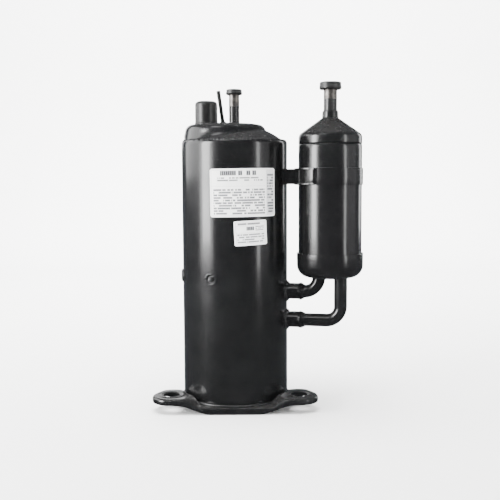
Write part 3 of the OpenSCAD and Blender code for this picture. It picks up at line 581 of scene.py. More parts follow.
def lid_sheet():
    rings, segments = 84, 216
    skirt_z = low("top_lid").z
    columns = []
    for j in range(segments):
        a = 2 * math.pi * j / segments
        top = [(lid_r * (i / rings) ** 0.85) for i in range(rings + 1)]
        line = [(r, lid_height(r * math.cos(a), r * math.sin(a))) for r in top]
        line += [(lid_r, skirt_z), (lid_r - lid_wall, skirt_z)]
        under = [r * (lid_r - lid_wall) / lid_r for r in reversed(top)]
        line += [(r, lid_height(r * math.cos(a), r * math.sin(a)) - lid_wall) for r in under]
        columns.append([Vector((r * math.cos(a), r * math.sin(a), z)) for r, z in line])
    return loft(columns)


def loft(columns):
    """Joins a ring of equal columns of points into quads."""
    count = len(columns[0])
    verts = [p for column in columns for p in column]
    faces = []
    for j in range(len(columns)):
        for i in range(count - 1):
            a, b = j * count + i, j * count + i + 1
            faces.append((a, b, (b + count) % len(verts), (a + count) % len(verts)))
    return verts, faces


lid = piece("lid_pressing", *lid_sheet(), "black_enamel", shell_enamel, ["top_lid"], smooth=60)
print("lid_pressing:", len(lid.data.polygons), "faces")

# %% [markdown]
# ## The pressed mounting plate
# The three-footed plate is pressed sheet: a flat middle, a ramp up to a pad at each foot,
# and an edge that turns down all round into a skirt. It is lofted from spokes. Each spoke
# starts at the hole round the bottom cap and runs out to the edge, which is found from
# the distance to the triangle of foot centres. The bolt holes are cut afterwards.

# %% Mounting plate
plate_top = 0.0088
pad_top = high("mounting_plate").z
plate_t = 0.0032
foot_r = high("mounting_plate").x - foot_circle_r * math.cos(math.radians(30))
pad_skirt = 0.0075
edge_round = 0.0034
pad_r, ramp_r = foot_r + 0.001, foot_r + 0.018
feet = [Vector((foot_circle_r * math.cos(math.radians(a)), foot_circle_r * math.sin(math.radians(a))))
        for a in (-30, 90, 210)]
cap_hole_r = shell_r - 0.0038


def beyond_triangle(p):
    """Distance outside the triangle of foot centres, negative inside it."""
    inside, nearest = True, 1.0
    for a, b in zip(feet, feet[1:] + feet[:1]):
        edge = b - a
        t = max(0.0, min(1.0, (p - a).dot(edge) / edge.length_squared))
        nearest = min(nearest, (p - a - t * edge).length)
        inside = inside and edge.cross(p - a) > 0
    return -nearest if inside else nearest


def step(t):
    t = max(0.0, min(1.0, t))
    return t * t * (3 - 2 * t)


def pad_share(p):
    """1 on a pad, 0 on the flat middle, and a smooth ramp between."""
    away = min((p - foot).length for foot in feet)
    clear = step((p.length - shell_r - 0.0006) / 0.0042)
    return step((ramp_r - away) / (ramp_r - pad_r)) * clear


def edge_share(p):
    """The skirt's lower edge climbs to the feet over a longer, easier curve than the top."""
    away = min((p - foot).length for foot in feet)
    return step((ramp_r + 0.013 - away) / (ramp_r + 0.013 - pad_r + 0.006))


def boss(p):
    """Low rounded rim pressed up round each bolt hole."""
    away = min((p - foot).length for foot in feet)
    return 0.0009 * math.exp(-((away - 0.0135) / 0.0022) ** 2)


def plate_spoke(a):
    aim = Vector((math.cos(a), math.sin(a)))
    near, far = shell_r * 0.9, foot_circle_r + foot_r + 0.01
    for _ in range(40):
        mid = (near + far) / 2
        near, far = (mid, far) if beyond_triangle(aim * mid) < foot_r else (near, mid)
    rim = near
    count = 34
    reach = [cap_hole_r + (rim - cap_hole_r) * (1 - (1 - i / count) ** 1.35) for i in range(count + 1)]
    top = []
    for r in reach:
        p = aim * r
        in_from_edge = min(edge_round, foot_r - beyond_triangle(p))
        drop = edge_round - math.sqrt(max(edge_round ** 2 - (edge_round - in_from_edge) ** 2, 0))
        share = pad_share(p)
        base = plate_top + (pad_top - 0.0009 - plate_top) * share
        top.append((r, base + boss(p) * share - drop))
    p = aim * rim
    foot = (pad_top - pad_skirt) * edge_share(p)
    skirt = [(rim, foot + (top[-1][1] - foot) * k / 3) for k in (2, 1)] + [(rim - 0.0003, foot)]
    inner = rim
    while foot_r - beyond_triangle(aim * inner) < plate_t:
        inner -= 0.0002
    under = [(inner + 0.0003, foot)]
    for r in [inner + (cap_hole_r - inner) * i / 20 for i in range(21)]:
        p = aim * r
        share = pad_share(p)
        under.append((r, plate_top + (pad_top - 0.0009 - plate_top) * share - plate_t))
    line = top + skirt + under + [top[0]]
    return [Vector((aim.x * r, aim.y * r, z)) for r, z in line]


spokes = [plate_spoke(2 * math.pi * j / 540) for j in range(540)]
plate = piece("plate_pressing", *loft(spokes), "black_enamel", plate_enamel, ["mounting_plate"])
for number, foot in enumerate(feet):
    verts, faces = spin([(0, 0), (foot_hole_r, 0), (foot_hole_r, 0.04), (0, 0.04)], 64)
    punch = piece("punch", [v + Vector((*foot, -0.005)) for v in verts], faces,
                  "black_enamel", plate_enamel)
    cut = plate.modifiers.new("hole", "BOOLEAN")
    cut.object, cut.operation, cut.solver = punch, "DIFFERENCE", "EXACT"
    bpy.context.view_layer.update()
    shaped = bpy.data.meshes.new_from_object(plate.evaluated_get(bpy.context.evaluated_depsgraph_get()))
    plate.modifiers.clear()
    plate.data = shaped
    bpy.data.objects.remove(punch)
soften(plate, 34)
print("plate_pressing:", len(plate.data.polygons), "faces, feet:", len(feet))

# %% [markdown]
# ## Weld beads
# The lid's rim, the collars and the plate are arc welded, then painted over. A bead is a
# row of puddles that each froze over the last, so its ring swells and narrows every few
# millimetres, and its height wanders. The ring is a torus whose section changes along
# it. A bead on the side of the shell also has to bend back with the shell's curve.

# %% Beads and rings


def on_wall(p, aim):
    """Slides a point along aim so that a flat ring lies on the round shell."""
    side = Vector((-aim.y, aim.x, 0)).dot(p)
    return p - aim * (shell_r - math.sqrt(shell_r ** 2 - side ** 2))


def bead(name, ring_r, thick, tall, at, seed, finish=weld_enamel, slot="painted_weld", aim=None,
         replaced=(), puddle=0.0034, rough=0.22, wall_aim=None, sides=14):
    segments = max(90, int(2 * math.pi * ring_r / 0.0006))
    turns = round(2 * math.pi * ring_r / puddle)
    turn = (aim or Vector((0, 0, 1))).to_track_quat("Z", "Y") if aim else Matrix.Identity(3).to_quaternion()
    columns = []
    for j in range(segments):
        a = 2 * math.pi * j / segments
        uneven = 0.35 * noise.noise(Vector((seed, 4 * math.cos(a), 4 * math.sin(a))))
        phase = (turns * j / segments + uneven) % 1
        swell = 1 + rough * (math.sin(math.pi * phase) ** 0.6 - 0.6)
        column = []
        for k in range(sides + 1):
            b = 2 * math.pi * (k % sides) / sides
            spot = Vector((60 * ring_r * math.cos(a) * 9, 60 * ring_r * math.sin(a) * 9,
                           seed + 1.3 * math.cos(b)))
            lump = 1 + 0.55 * rough * noise.noise(spot)
            r = ring_r + thick * swell * lump * math.cos(b)
            rise = tall * swell * lump * math.sin(b)
            p = turn @ Vector((r * math.cos(a), r * math.sin(a), rise)) + Vector(at)
            column.append(on_wall(p, wall_aim) if wall_aim else p)
        columns.append(column)
    return piece(name, *loft(columns), slot, finish, replaced, smooth=75)


lid_bead = bead("lid_weld", shell_r - 0.0042, 0.0026, 0.0020, (0, 0, shell_top + 0.0003), 3.0,
                replaced=["seam_welds"], puddle=0.0037, rough=0.62)
plate_bead = bead("plate_weld", shell_r + 0.0004, 0.0015, 0.0015, (0, 0, shell_foot - 0.0004), 8.0,
                  puddle=0.003)
print("beads:", lid_bead.name, plate_bead.name)

# %% [markdown]
# ## Plug welds
# The pump's main bearing is held by plug welds through holes in the shell. Each shows
# as a shallow disc with a raised rim and a small button where the wire was cut off. The
# CAD node has them all in one, so their places are found by grouping its points.

# %% Plug welds


def groups_round(node, gap=math.radians(12)):
    """The mean direction of each cluster of a node's points round the shell."""
    angles = sorted(math.atan2(v.co.y, v.co.x) for v in frame["nodes"][node].data.vertices)
    found = [[angles[0]]]
    for a in angles[1:]:
        if a - found[-1][-1] > gap:
            found.append([])
        found[-1].append(a)
    return [(f[0] + f[-1]) / 2 for f in found]


def puddled(seed):
    """Ripples the face of a plug weld and makes its outline a little out of round."""
    def wander(p, a):
        p = p + Vector((0, 0, 0.00025 * noise.noise(Vector((p.x * 500, p.y * 500, seed)))))
        return p * (1 + 0.03 * noise.noise(Vector((3 * math.cos(a), 3 * math.sin(a), seed))))
    return wander


plug_z = middle("plug_welds").z
for number, a in enumerate(groups_round("plug_welds")):
    aim = Vector((math.cos(a), math.sin(a), 0))
    disc = lathe(f"plug_weld_{number + 1}",
                 [(0, -0.002, 0), (0.0077, -0.002, 0), (0.0078, 0.0012, 0.0008), (0.0060, 0.0025, 0.0010),
                  (0.0045, 0.0001, 0.0006), (0.0033, 0.0001, 0.0003), (0.0028, 0.0023, 0.0008),
                  (0, 0.0024, 0)],
                 "painted_weld", weld_enamel, ["plug_welds"], at=aim * shell_r + Vector((0, 0, plug_z)),
                 aim=aim, segments=56, wander=puddled(number))
    for v in disc.data.vertices:
        v.co = on_wall(v.co, aim)
print("plug welds at", [round(math.degrees(a)) for a in groups_round("plug_welds")])

# %% [markdown]
# ## The labels on the shell
# Each label is a thin film wrapped round the shell. It is a grid of points at the shell's
# radius, with its corners drawn in and its edges a hair off the paint, and it carries its
# own flat coordinates in metres, so that the print is laid out as on a drawing.

# %% Wrapped films


def wrapped_label(name, node, tilt, finish, corner=0.0016):
    angles = [math.atan2(v.co.y, v.co.x) for v in frame["nodes"][node].data.vertices]
    centre, arc = (min(angles) + max(angles)) / 2, (max(angles) - min(angles)) * shell_r
    lean = math.radians(tilt)
    arc -= (high(node).z - low(node).z) * math.sin(lean)
    tall = high(node).z - low(node).z - arc * math.sin(lean)
    z_mid = middle(node).z
    across, up = 64, 32
    verts, flat = [], []
    for side in (0.00005, 0.00022):
        for i in range(up + 1):
            v = tall * i / up
            near = min(v, tall - v)
            draw = corner - math.sqrt(max(corner ** 2 - (corner - near) ** 2, 0)) if near < corner else 0
            for j in range(across + 1):
                u = draw + (arc - 2 * draw) * j / across
                s, t = u - arc / 2, v - tall / 2
                a = centre + (s * math.cos(lean) - t * math.sin(lean)) / shell_r
                z = z_mid + t * math.cos(lean) + s * math.sin(lean)
                edge = min(u, arc - u, v, tall - v)
                curl = 1 + noise.noise(Vector((s * 60, t * 60, 5)))
                lift = side + 0.00012 * math.exp(-edge / 0.0012) * curl
                verts.append(Vector(((shell_r + lift) * math.cos(a), (shell_r + lift) * math.sin(a), z)))
                flat.append((u, v))
    grid = (up + 1) * (across + 1)
    faces = []
    for i in range(up):
        for j in range(across):
            a = i * (across + 1) + j
            quad = (a, a + 1, a + across + 2, a + across + 1)
            faces += [quad, tuple(grid + q for q in reversed(quad))]
    rim = ([j for j in range(across)] + [i * (across + 1) + across for i in range(up)]
           + [up * (across + 1) + j for j in range(across, 0, -1)]
           + [i * (across + 1) for i in range(up, 0, -1)])
    faces += [(a, b, b + grid, a + grid) for a, b in zip(rim, rim[1:] + rim[:1])]
    made = piece(name, verts, faces, "label_film", finish, [node], smooth=60)
    layer = made.data.uv_layers.new(name="flat")
    for loop in made.data.loops:
        layer.data[loop.index].uv = flat[loop.vertex_index]
    return made, arc, tall


film_white = (0.93, 0.93, 0.92, 1)
column_grey = (0.30, 0.31, 0.33, 1)
spec_film = label_film(
    "spec_film", film_white,
    [(1.0, (rows_of_print, 0.0120, 0.0555, 0.0478, 0.0540, 1, 0.80, 0.0024, 1.0)),
     (0.95, (rows_of_print, 0.0092, 0.0638, 0.0412, 0.0466, 2, 0.56, 0.0011, 2.0)),
     (1.0, (rows_of_print, 0.0042, 0.0668, 0.0026, 0.0330, 10, 0.62, 0.0010, 3.0)),
     (1.0, (rows_of_print, 0.0703, 0.0797, 0.0040, 0.0500, 14, 0.62, 0.0009, 4.0)),
     (0.55, (frame_line, 0.0016, 0.0800, 0.0016, 0.0546, 0.00035)),
     (0.50, (frame_line, 0.0689, 0.0800, 0.0016, 0.0546, 0.00035))],
    [(0.45, column_grey, (0.0694, 0.0798, 0.0020, 0.0542)),
     (0.20, column_grey, (0.0028, 0.0675, 0.0352, 0.0362))])
serial_film = label_film(
    "serial_film", (0.95, 0.95, 0.94, 1),
    [(0.95, (rows_of_print, 0.0046, 0.0368, 0.0236, 0.0268, 1, 0.62, 0.0010, 5.0)),
     (1.0, (rows_of_print, 0.0147, 0.0239, 0.0172, 0.0222, 1, 0.80, 0.0022, 6.0)),
     (0.95, (rows_of_print, 0.0257, 0.0368, 0.0165, 0.0225, 3, 0.50, 0.0009, 7.0)),
     (0.95, (rows_of_print, 0.0037, 0.0368, 0.0028, 0.0140, 4, 0.50, 0.0009, 8.0)),
     (0.60, (frame_line, 0.0020, 0.0386, 0.0018, 0.0274, 0.0003)),
     (0.45, (frame_line, 0.0020, 0.0386, 0.0150, 0.0230, 0.00025))],
    [(0.16, column_grey, (0.0022, 0.0384, 0.0020, 0.0148))])
_, spec_w, spec_h = wrapped_label("spec_label_film", "spec_label", 0.6, spec_film)
_, serial_w, serial_h = wrapped_label("serial_label_film", "serial_label", 2.5, serial_film)
print(f"labels {1000 * spec_w:.0f} x {1000 * spec_h:.0f}"
      f" and {1000 * serial_w:.0f} x {1000 * serial_h:.0f} mm")

# %% [markdown]
# ## Stubs, plugs and brazing
# The discharge stub stands on the lid and the inlet stub on the accumulator's neck, each
# with a plug pushed into its open end for shipping. A plug is a turned shape: a head with
# softly rounded edges and a dished top, and a stem inside the tube.

# %% Stubs and plugs
stem_length = 0.010    # of a plug, inside its tube


def stub(name, node, at, r, finish):
    z0, z1 = low(node).z, high(node).z
    corners = [(r - 0.001, z0, 0), (r, z0, 0), (r, z1, 0.0003), (r - 0.001, z1, 0.0002)]
    return lathe(name, corners, "copper", finish, [node], at=at, segments=96)


def plug(name, node, at, stem_r):
    z1 = high(node).z
    head_r = width(node) / 2
    z0 = mount_top[node]
    thick = z1 - z0
    corners = [(0, z0 - stem_length, 0), (stem_r, z0 - stem_length, 0.0006), (stem_r, z0, 0),
               (head_r - 0.0009, z0, 0.0003),
               (head_r, z0 + 0.0012, 0.0006), (head_r, z0 + thick * 0.42, 0.0002),
               (head_r - 0.0004, z0 + thick * 0.47, 0.0002), (head_r - 0.0004, z1, 0.0012),
               (head_r * 0.62, z1 - 0.0003, 0.001), (0, z1 - 0.0009, 0)]
    return lathe(name, corners, "black_plastic", plug_plastic, [node], at=at, segments=96, body=node)


mount_top = {"discharge_plug": high("discharge_pipe").z, "suction_plug": high("inlet_pipe").z}
shell_axis = Vector()
stub("discharge_stub", "discharge_pipe", shell_axis, stub_r, stub_finish)
stub("inlet_stub", "inlet_pipe", acc_axis, inlet_r, inlet_finish)
plug("discharge_plug_moulding", "discharge_plug", shell_axis, stub_r - 0.00115)
plug("suction_plug_moulding", "suction_plug", acc_axis, inlet_r - 0.00115)
neck_top = high("accumulator_top").z
bead("discharge_brazing", stub_r, 0.0021, 0.0019, (0, 0, lid_top), 12.0, puddle=0.006, rough=0.12,
     replaced=["pipe_brazing"])
bead("inlet_brazing", inlet_r, 0.0014, 0.0015, (*acc_axis.xy, neck_top), 14.0, puddle=0.006, rough=0.14)
print("stubs, plugs and brazing made")

# %% [markdown]
# ## The terminal cover and its stud
# The cover is a moulded cap over the three electric pins: a tall cup with a well rounded
# top and a slight flare at its foot. Beside it stands the threaded stud, knocked a few
# degrees off upright. Its thread is real geometry: a sleeve of points whose radius
# follows a ridge that climbs one pitch each turn.

# %% Cover and stud
cover_r, cover_z = width("terminal_cover") / 2, low("terminal_cover").z
cover_top = high("terminal_cover").z
lathe("terminal_cap", [(cover_r - 0.002, cover_z, 0.0003), (cover_r, cover_z, 0.0005),
                       (cover_r, cover_z + 0.0022, 0.0006), (cover_r - 0.0005, cover_z + 0.0034, 0.0008),
                       (cover_r - 0.0006, cover_top, 0.0046), (0.003, cover_top, 0.001),
                       (0.0026, cover_top - 0.0005, 0.0004), (0, cover_top - 0.0005, 0),
                       (0, cover_top - 0.0022, 0), (cover_r - 0.0026, cover_top - 0.0022, 0.003)],
      "black_plastic", cover_plastic, ["terminal_cover"], at=Vector((*middle("terminal_cover").xy, 0)),
      segments=128, body="terminal_cover")

stud = mounts["cover_stud"]
stud_r, stud_aim = stud["dims"]["r_mm"] / 1000, Vector(stud["axis"]).normalized()
stud_length = stud["dims"]["length_mm"] / 1000
stud_foot = Vector(stud["pos_m"]) - stud_aim * (Vector(stud["pos_m"]).z - lid_top) / stud_aim.z
stud_tip = stud_length + 0.0014
pitch, thread_from = 0.0009, 0.0085


def stud_ridge(z, a):
    """The stud's radius at a height and direction."""
    if z < thread_from:
        return stud_r
    ridge = abs(((z / pitch - a / (2 * math.pi)) % 1) * 2 - 1)
    worn = step((z - thread_from) / 0.002) * step((stud_tip - z) / 0.0008)
    return stud_r + 0.0001 - 0.00035 * worn * (1 - ridge) - 0.0004 * (1 - step((stud_tip - z) / 0.0006))


def stud_columns():
    turn = stud_aim.to_track_quat("Z", "Y")
    heights = [stud_tip * i / 330 for i in range(331)]
    columns = []
    for j in range(28):
        a = 2 * math.pi * j / 28
        flat = [(0, -0.001), (0.0046, -0.001), (0.0047, 0.0016), (0.0043, 0.0032), (0.0034, 0.0046),
                (stud_r * 0.97, 0.0053)]
        line = flat + [(stud_ridge(z, a), z) for z in heights if z > 0.0054] + [(0, stud_tip)]
        columns.append([stud_foot + turn @ Vector((r * math.cos(a), r * math.sin(a), z)) for r, z in line])
    return columns


def stud_metal():
    finish = Finish("stud_metal", (0.05, 0.05, 0.052), 0.4)
    bare = finish.along("Z").between(lid_top + 0.017, lid_top + 0.021)
    worn = finish.noise(500, 4).between(0.5, 0.7)
    finish.set("Base Color", finish.mix(bare * (0.25 + 0.5 * worn), grey(0.008), (0.035, 0.034, 0.033, 1)))
    finish.set("Metallic", bare * 0.1)
    finish.set("Roughness", 0.42 + 0.15 * worn)
    finish.set("Normal", finish.bump(finish.noise(1500, 3), 0.00003))
    return finish


piece("cover_stud_thread", *loft(stud_columns()), "blackened_steel", stud_metal(), ["cover_stud"],
      smooth=50)
print(f"thread pitch {1000 * pitch:.1f} mm")

# %% [markdown]
# ## Collars and suction pipes
# Two copper pipes leave collars on the shell, turn up and enter the accumulator's foot.
# A drawn tube that is bent keeps its width in the bend but flattens a little. Each pipe
# is a circle carried along its path, and the path is worked out from the bend's radius.

# %% Pipes that turn
away = Vector((math.cos(acc_angle), math.sin(acc_angle), 0))
across = Vector((-away.y, away.x, 0))
up = Vector((0, 0, 1))
bend_r = 0.0175
acc_foot = low("accumulator_base").z


def leg_of(node):
    return max(v.co.dot(away) for v in frame["nodes"][node].data.vertices) - inlet_r


def bent_pipe(name, node):
    z, leg = low(node).z + inlet_r, leg_of(node)
    start, corner = shell_r - 0.002, leg - bend_r
    path = [(away * (start + (corner - start) * i / 8) + up * z, away, 0) for i in range(8)]
    for i in range(29):
        a = math.pi / 2 * i / 28
        here = away * (corner + bend_r * math.sin(a)) + up * (z + bend_r - bend_r * math.cos(a))
        path.append((here, away * math.cos(a) + up * math.sin(a), math.sin(2 * a)))
    rise = acc_foot + 0.004 - z - bend_r
    path += [(away * leg + up * (z + bend_r + rise * i / 8), up, 0) for i in range(1, 9)]
    columns = []
    for k in range(48):
        b = 2 * math.pi * k / 48
        column = [path[0][0]]
        for here, heading, bend in path:
            out = across.cross(heading)
            flat = inlet_r * (1 - 0.035 * bend)
            swell = 1 + 0.01 * bend
            column.append(here + across * inlet_r * swell * math.cos(b) + out * flat * math.sin(b))
        columns.append(column + [path[-1][0]])
    return piece(name, *loft(columns), "black_enamel", pipe_enamel, [node], smooth=60), z, leg


def lumpy(start, amount, seed):
    """Adds lumps of brazing to a turned piece beyond a given height."""
    def wander(p, a):
        strength = amount * step((p.z - start) / 0.002)
        lump = noise.noise(Vector((p.x * 210, p.y * 210, p.z * 260 + seed)))
        flat = Vector((p.x, p.y, 0))
        return p + flat.normalized() * strength * lump if flat.length > 1e-6 else p
    return wander


collar_r = 0.0098
collar_l = max(v.co.dot(away) for v in frame["nodes"]["suction_collars"].data.vertices) - shell_r - 0.003
for level, node in (("upper", "suction_pipe_upper"), ("lower", "suction_pipe_lower")):
    made, z, leg = bent_pipe(f"suction_line_{level}", node)
    seed = 5.0 if level == "upper" else 9.0
    lathe(f"collar_{level}",
          [(inlet_r - 0.0005, -0.002, 0), (collar_r, -0.002, 0), (collar_r, collar_l - 0.0036, 0.001),
           (collar_r + 0.0008, collar_l - 0.0012, 0.0009), (collar_r + 0.0002, collar_l + 0.0004, 0.0006),
           (inlet_r + 0.0004, collar_l + 0.0038, 0.0012), (inlet_r - 0.0005, collar_l + 0.004, 0)],
          "black_enamel", pipe_enamel, ["suction_collars"], at=away * shell_r + up * z, aim=away,
          segments=84,
          wander=lumpy(collar_l - 0.0028, 0.0006, seed))
    bead(f"collar_weld_{level}", collar_r + 0.0004, 0.0023, 0.0031, away * shell_r + up * z, seed, aim=away,
         replaced=["collar_welds"], wall_aim=away, puddle=0.0036, rough=0.26)
    bead(f"foot_brazing_{level}", inlet_r, 0.0017, 0.0016, away * leg + up * acc_foot, seed + 20,
         puddle=0.006, rough=0.14)
print("two suction lines, bend radius", bend_r * 1000, "mm")

# %% [markdown]
# ## The accumulator
# The accumulator is a drawn tube. Its top is spun down to a neck in a cone, and a deep cup
# is pushed over its foot and welded. All three are turned shapes, so lathes give them,
# each with the small rounded lips that show as fine lines where they meet.

# %% Accumulator
seam_z = low("accumulator_top").z
cone_top = neck_top - 0.0075
cone_slope = math.tan(math.radians(34.6))
neck_r = inlet_r + 0.0015
shoulder_z = cone_top - (acc_r - neck_r) * cone_slope
acc_wall = 0.002


def tube_waver(p, a):
    soft = noise.noise(Vector(((p.x + 4) * 15, p.y * 15, p.z * 9)))
    flat = Vector((p.x, p.y, 0))
    return p - flat.normalized() * 0.00007 * (1 + soft) if flat.length > 0.02 else p


lathe("accumulator_cone",
      [(neck_r - 0.002, seam_z + 0.001, 0), (acc_r - acc_wall, seam_z + 0.0002, 0),
       (acc_r - 0.0006, seam_z + 0.0002, 0.0003),
       (acc_r, seam_z + 0.0012, 0.0005), (acc_r, shoulder_z, 0.007), (neck_r + 0.0004, cone_top, 0.0018),
       (neck_r, neck_top, 0.0008), (neck_r - 0.002, neck_top, 0)],
      "black_enamel", shell_enamel, ["accumulator_top"], at=acc_axis, segments=192,
      wander=tube_waver, steps=10)
body_low = acc_foot + 0.017
body_rings = [(acc_r, body_low + (seam_z - 0.001 - body_low) * i / 24, 0) for i in range(25)]
lathe("accumulator_tube", [(acc_r - acc_wall, body_low, 0)] + body_rings +
      [(acc_r - 0.0006, seam_z - 0.0001, 0.0003), (acc_r - acc_wall, seam_z - 0.0001, 0)],
      "black_enamel", shell_enamel, ["accumulator_body"], at=acc_axis, segments=192, wander=tube_waver)
cup_r, cup_rim = width("accumulator_base") / 2, high("accumulator_base").z
lathe("accumulator_cup",
      [(0, acc_foot, 0), (cup_r - 0.0002, acc_foot, 0.015), (cup_r, cup_rim - 0.006, 0.004),
       (cup_r, cup_rim, 0.0007), (acc_r + 0.0001, cup_rim - 0.0003, 0.0003),
       (acc_r + 0.0001, acc_foot + 0.004, 0.012), (0, acc_foot + 0.003, 0)],
      "black_enamel", shell_enamel, ["accumulator_base"], at=acc_axis, segments=192,
      wander=tube_waver, steps=14)
print("accumulator pieces made")

# %% [markdown]
# ## Bracket and strap
# A pressed saddle cradles the accumulator, its edges turned out for stiffness, and two
# arms weld it to the shell. A thin band closes round the far side and laps over the
# saddle's ends. Both are sections carried round an arc, with the flange fading out and
# the band stepping up by the saddle's thickness where they lap.

# %% Bracket and strap
strap_low, strap_high = low("accumulator_strap").z, high("accumulator_strap").z
saddle_half = math.radians(68)
saddle_t, strap_t = 0.0022, 0.0012
facing = acc_angle + math.pi


def swept(start, end, section_at, steps):
    """Verts and faces of a closed section carried round the accumulator's axis."""
    columns = []
    for i in range(steps + 1):
        a = start + (end - start) * i / steps
        ray = Vector((math.cos(a), math.sin(a), 0))
        columns.append([acc_axis + ray * r + up * z for r, z in section_at(i / steps)])
    count = len(columns[0])
    verts = [p for column in columns for p in column]
    faces = [(j * count + k, j * count + (k + 1) % count,
              (j + 1) * count + (k + 1) % count, (j + 1) * count + k)
             for j in range(steps) for k in range(count)]
    return verts, faces + [tuple(range(count)), tuple(range(steps * count, (steps + 1) * count))]


def saddle_profile(t):
    flare = 0.0026 * step(min(t, 1 - t) / 0.16 - 0.35)
    inner, outer = acc_r + 0.00003, acc_r + saddle_t
    lip = outer + max(flare, 0.00001)
    low_z, high_z, lip_t = strap_low, strap_high, 0.0017
    return rounded([(inner, low_z, 0.0004), (lip, low_z, 0.00045), (lip, low_z + lip_t, 0.00045),
                    (outer, low_z + lip_t + 0.0006, 0.0003), (outer, high_z - lip_t - 0.0006, 0.0003),
                    (lip, high_z - lip_t, 0.00045), (lip, high_z, 0.00045), (inner, high_z, 0.0004)], 3)


def strap_profile(t):
    lap_share = 11 / 246
    lifted = 1 - step((min(t, 1 - t) - lap_share) / 0.022)
    inner = acc_r + 0.00004 + (saddle_t + 0.00003) * lifted
    narrow = 0.0022 * lifted
    outer, low_z, high_z = inner + strap_t, strap_low + narrow, strap_high - narrow
    return rounded([(inner, low_z, 0.0003), (outer, low_z, 0.0004),
                    (outer, high_z, 0.0004), (inner, high_z, 0.0003)], 3)


piece("saddle", *swept(facing - saddle_half, facing + saddle_half, saddle_profile, 72),
      "black_enamel", pipe_enamel, ["accumulator_bracket"], smooth=45)
lap = math.radians(11)
strap_from, strap_to = facing + saddle_half - lap, facing + 2 * math.pi - saddle_half + lap
piece("strap", *swept(strap_from, strap_to, strap_profile, 150),
      "black_enamel", shell_enamel, ["accumulator_strap"], smooth=45)


def arm(name, side):
    """One upright arm between shell and saddle, with its edges rounded."""
    bm = bmesh.new()
    bmesh.ops.create_cube(bm, size=1)
    span = acc_away - acc_r - shell_r + 0.006
    for v in bm.verts:
        v.co = (v.co.x * span, v.co.y * 0.0025, v.co.z * (strap_high - strap_low - 0.0018))
    bmesh.ops.bevel(bm, geom=bm.edges[:], offset=0.0006, segments=3, affect="EDGES", profile=0.5)
    bm.verts.ensure_lookup_table()
    centre = away * (shell_r + span / 2 - 0.0032) + across * side + up * (strap_low + strap_high) / 2
    turn = Matrix((away, across, up)).transposed()
    verts = [turn @ v.co + centre for v in bm.verts]
    faces = [tuple(v.index for v in f.verts) for f in bm.faces]
    bm.free()
    return piece(name, verts, faces, "black_enamel", pipe_enamel, smooth=50)


for name, side in (("bracket_arm_front", -0.01625), ("bracket_arm_back", 0.01625)):
    arm(name, side)
print("saddle, arms and strap made")

# %% [markdown]
# ## The discharge reeds
# A reed is a leaf of spring steel that lies over a discharge port. A rivet holds its root,
# and its head bends up off the port. A stiff leaf that turned about its clamp would dig
# its root into the bearing. Here each leaf is built flat where it lies, with cuts across it
# between its clamp and its head.

# %% Flat leaves cut across between clamp and head


def reed_outline(head_r, half_width, length, hole_r):
    """The leaf's edge and its rivet hole, with the head's centre at 0."""
    leave = math.asin(half_width / head_r)
    sweep = 2 * math.pi - 2 * leave
    edge = [(head_r * math.cos(leave + sweep * i / 28), head_r * math.sin(leave + sweep * i / 28))
            for i in range(29)]
    edge += [(length + half_width * math.cos(a), half_width * math.sin(a))
             for a in [math.pi * (i / 18 - 0.5) for i in range(19)]]
    hole = [(length + hole_r * math.cos(2 * math.pi * i / 24), hole_r * math.sin(2 * math.pi * i / 24))
            for i in range(24)]
    return edge, hole


def reed_leaf(joint, length=0.027, clamp=0.006):
    node, body = joint["deforming_nodes"][0]["node"], joint["child"]
    hinge = Vector(joint["pos_m"])
    rootward = Vector(joint["axis"]).cross(up).normalized()
    if joint["axis"][0] < 0:
        rootward.negate()
    if (hinge + rootward * clamp - middle("valve_rivets")).to_2d().length > clamp:
        rootward.negate()
    head = hinge - rootward * (length - clamp)
    bottom, top = low(node).z, high(node).z
    bm = bmesh.new()
    for loop in reed_outline(0.0045, 0.0035, length, 0.00152):
        ring = [bm.verts.new((x, y, bottom)) for x, y in loop]
        for a, b in zip(ring, ring[1:] + ring[:1]):
            bm.edges.new((a, b))
    bmesh.ops.triangle_fill(bm, edges=bm.edges[:], use_beauty=True)
    raised = bmesh.ops.extrude_face_region(bm, geom=bm.faces[:])["geom"]
    for v in raised:
        if isinstance(v, bmesh.types.BMVert):
            v.co.z = top
    for i in range(16):
        cut = length - clamp - 0.0008 * i
        bmesh.ops.bisect_plane(bm, geom=bm.verts[:] + bm.edges[:] + bm.faces[:],
                               plane_co=(cut, 0, 0), plane_no=(1, 0, 0))
    bm.verts.ensure_lookup_table()
    bm.verts.index_update()
    sideways = up.cross(rootward)
    flat_head = Vector((head.x, head.y, 0))
    verts = [flat_head + rootward * v.co.x + sideways * v.co.y + up * v.co.z for v in bm.verts]
    faces = [tuple(v.index for v in f.verts) for f in bm.faces]
    bm.free()
    leaf = piece(node + "_leaf", verts, faces, "bare_steel", by_slot["bare_steel"], [node], body=None)
    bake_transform(leaf)
    return leaf


for joint in frame["joints"]:
    if joint["name"].startswith("reed_"):
        print(reed_leaf(joint).name, "bends by up to", joint["range_deg"][1], "degrees")

# %% [markdown]
# ## Finishes for the pieces that stay as designed
# The motor, pump and other inner pieces keep their solids. They are sealed inside, but a
# section or an exploded picture of the part would show them, so each takes the finish
# that its material slot calls for.

# %% Finish every solid that still shows
slots = {row["node"]: row["material_slot"] for row in frame["record"]["subparts"]}
kept = 0
for name, solid in frame["nodes"].items():
    if solid.hide_render:
        continue
    finish = by_slot.get(slots[name], shell_enamel)
    solid.data.materials.clear()
    solid.data.materials.append(finish.material)
    kept += 1
print("solids kept as designed:", kept)

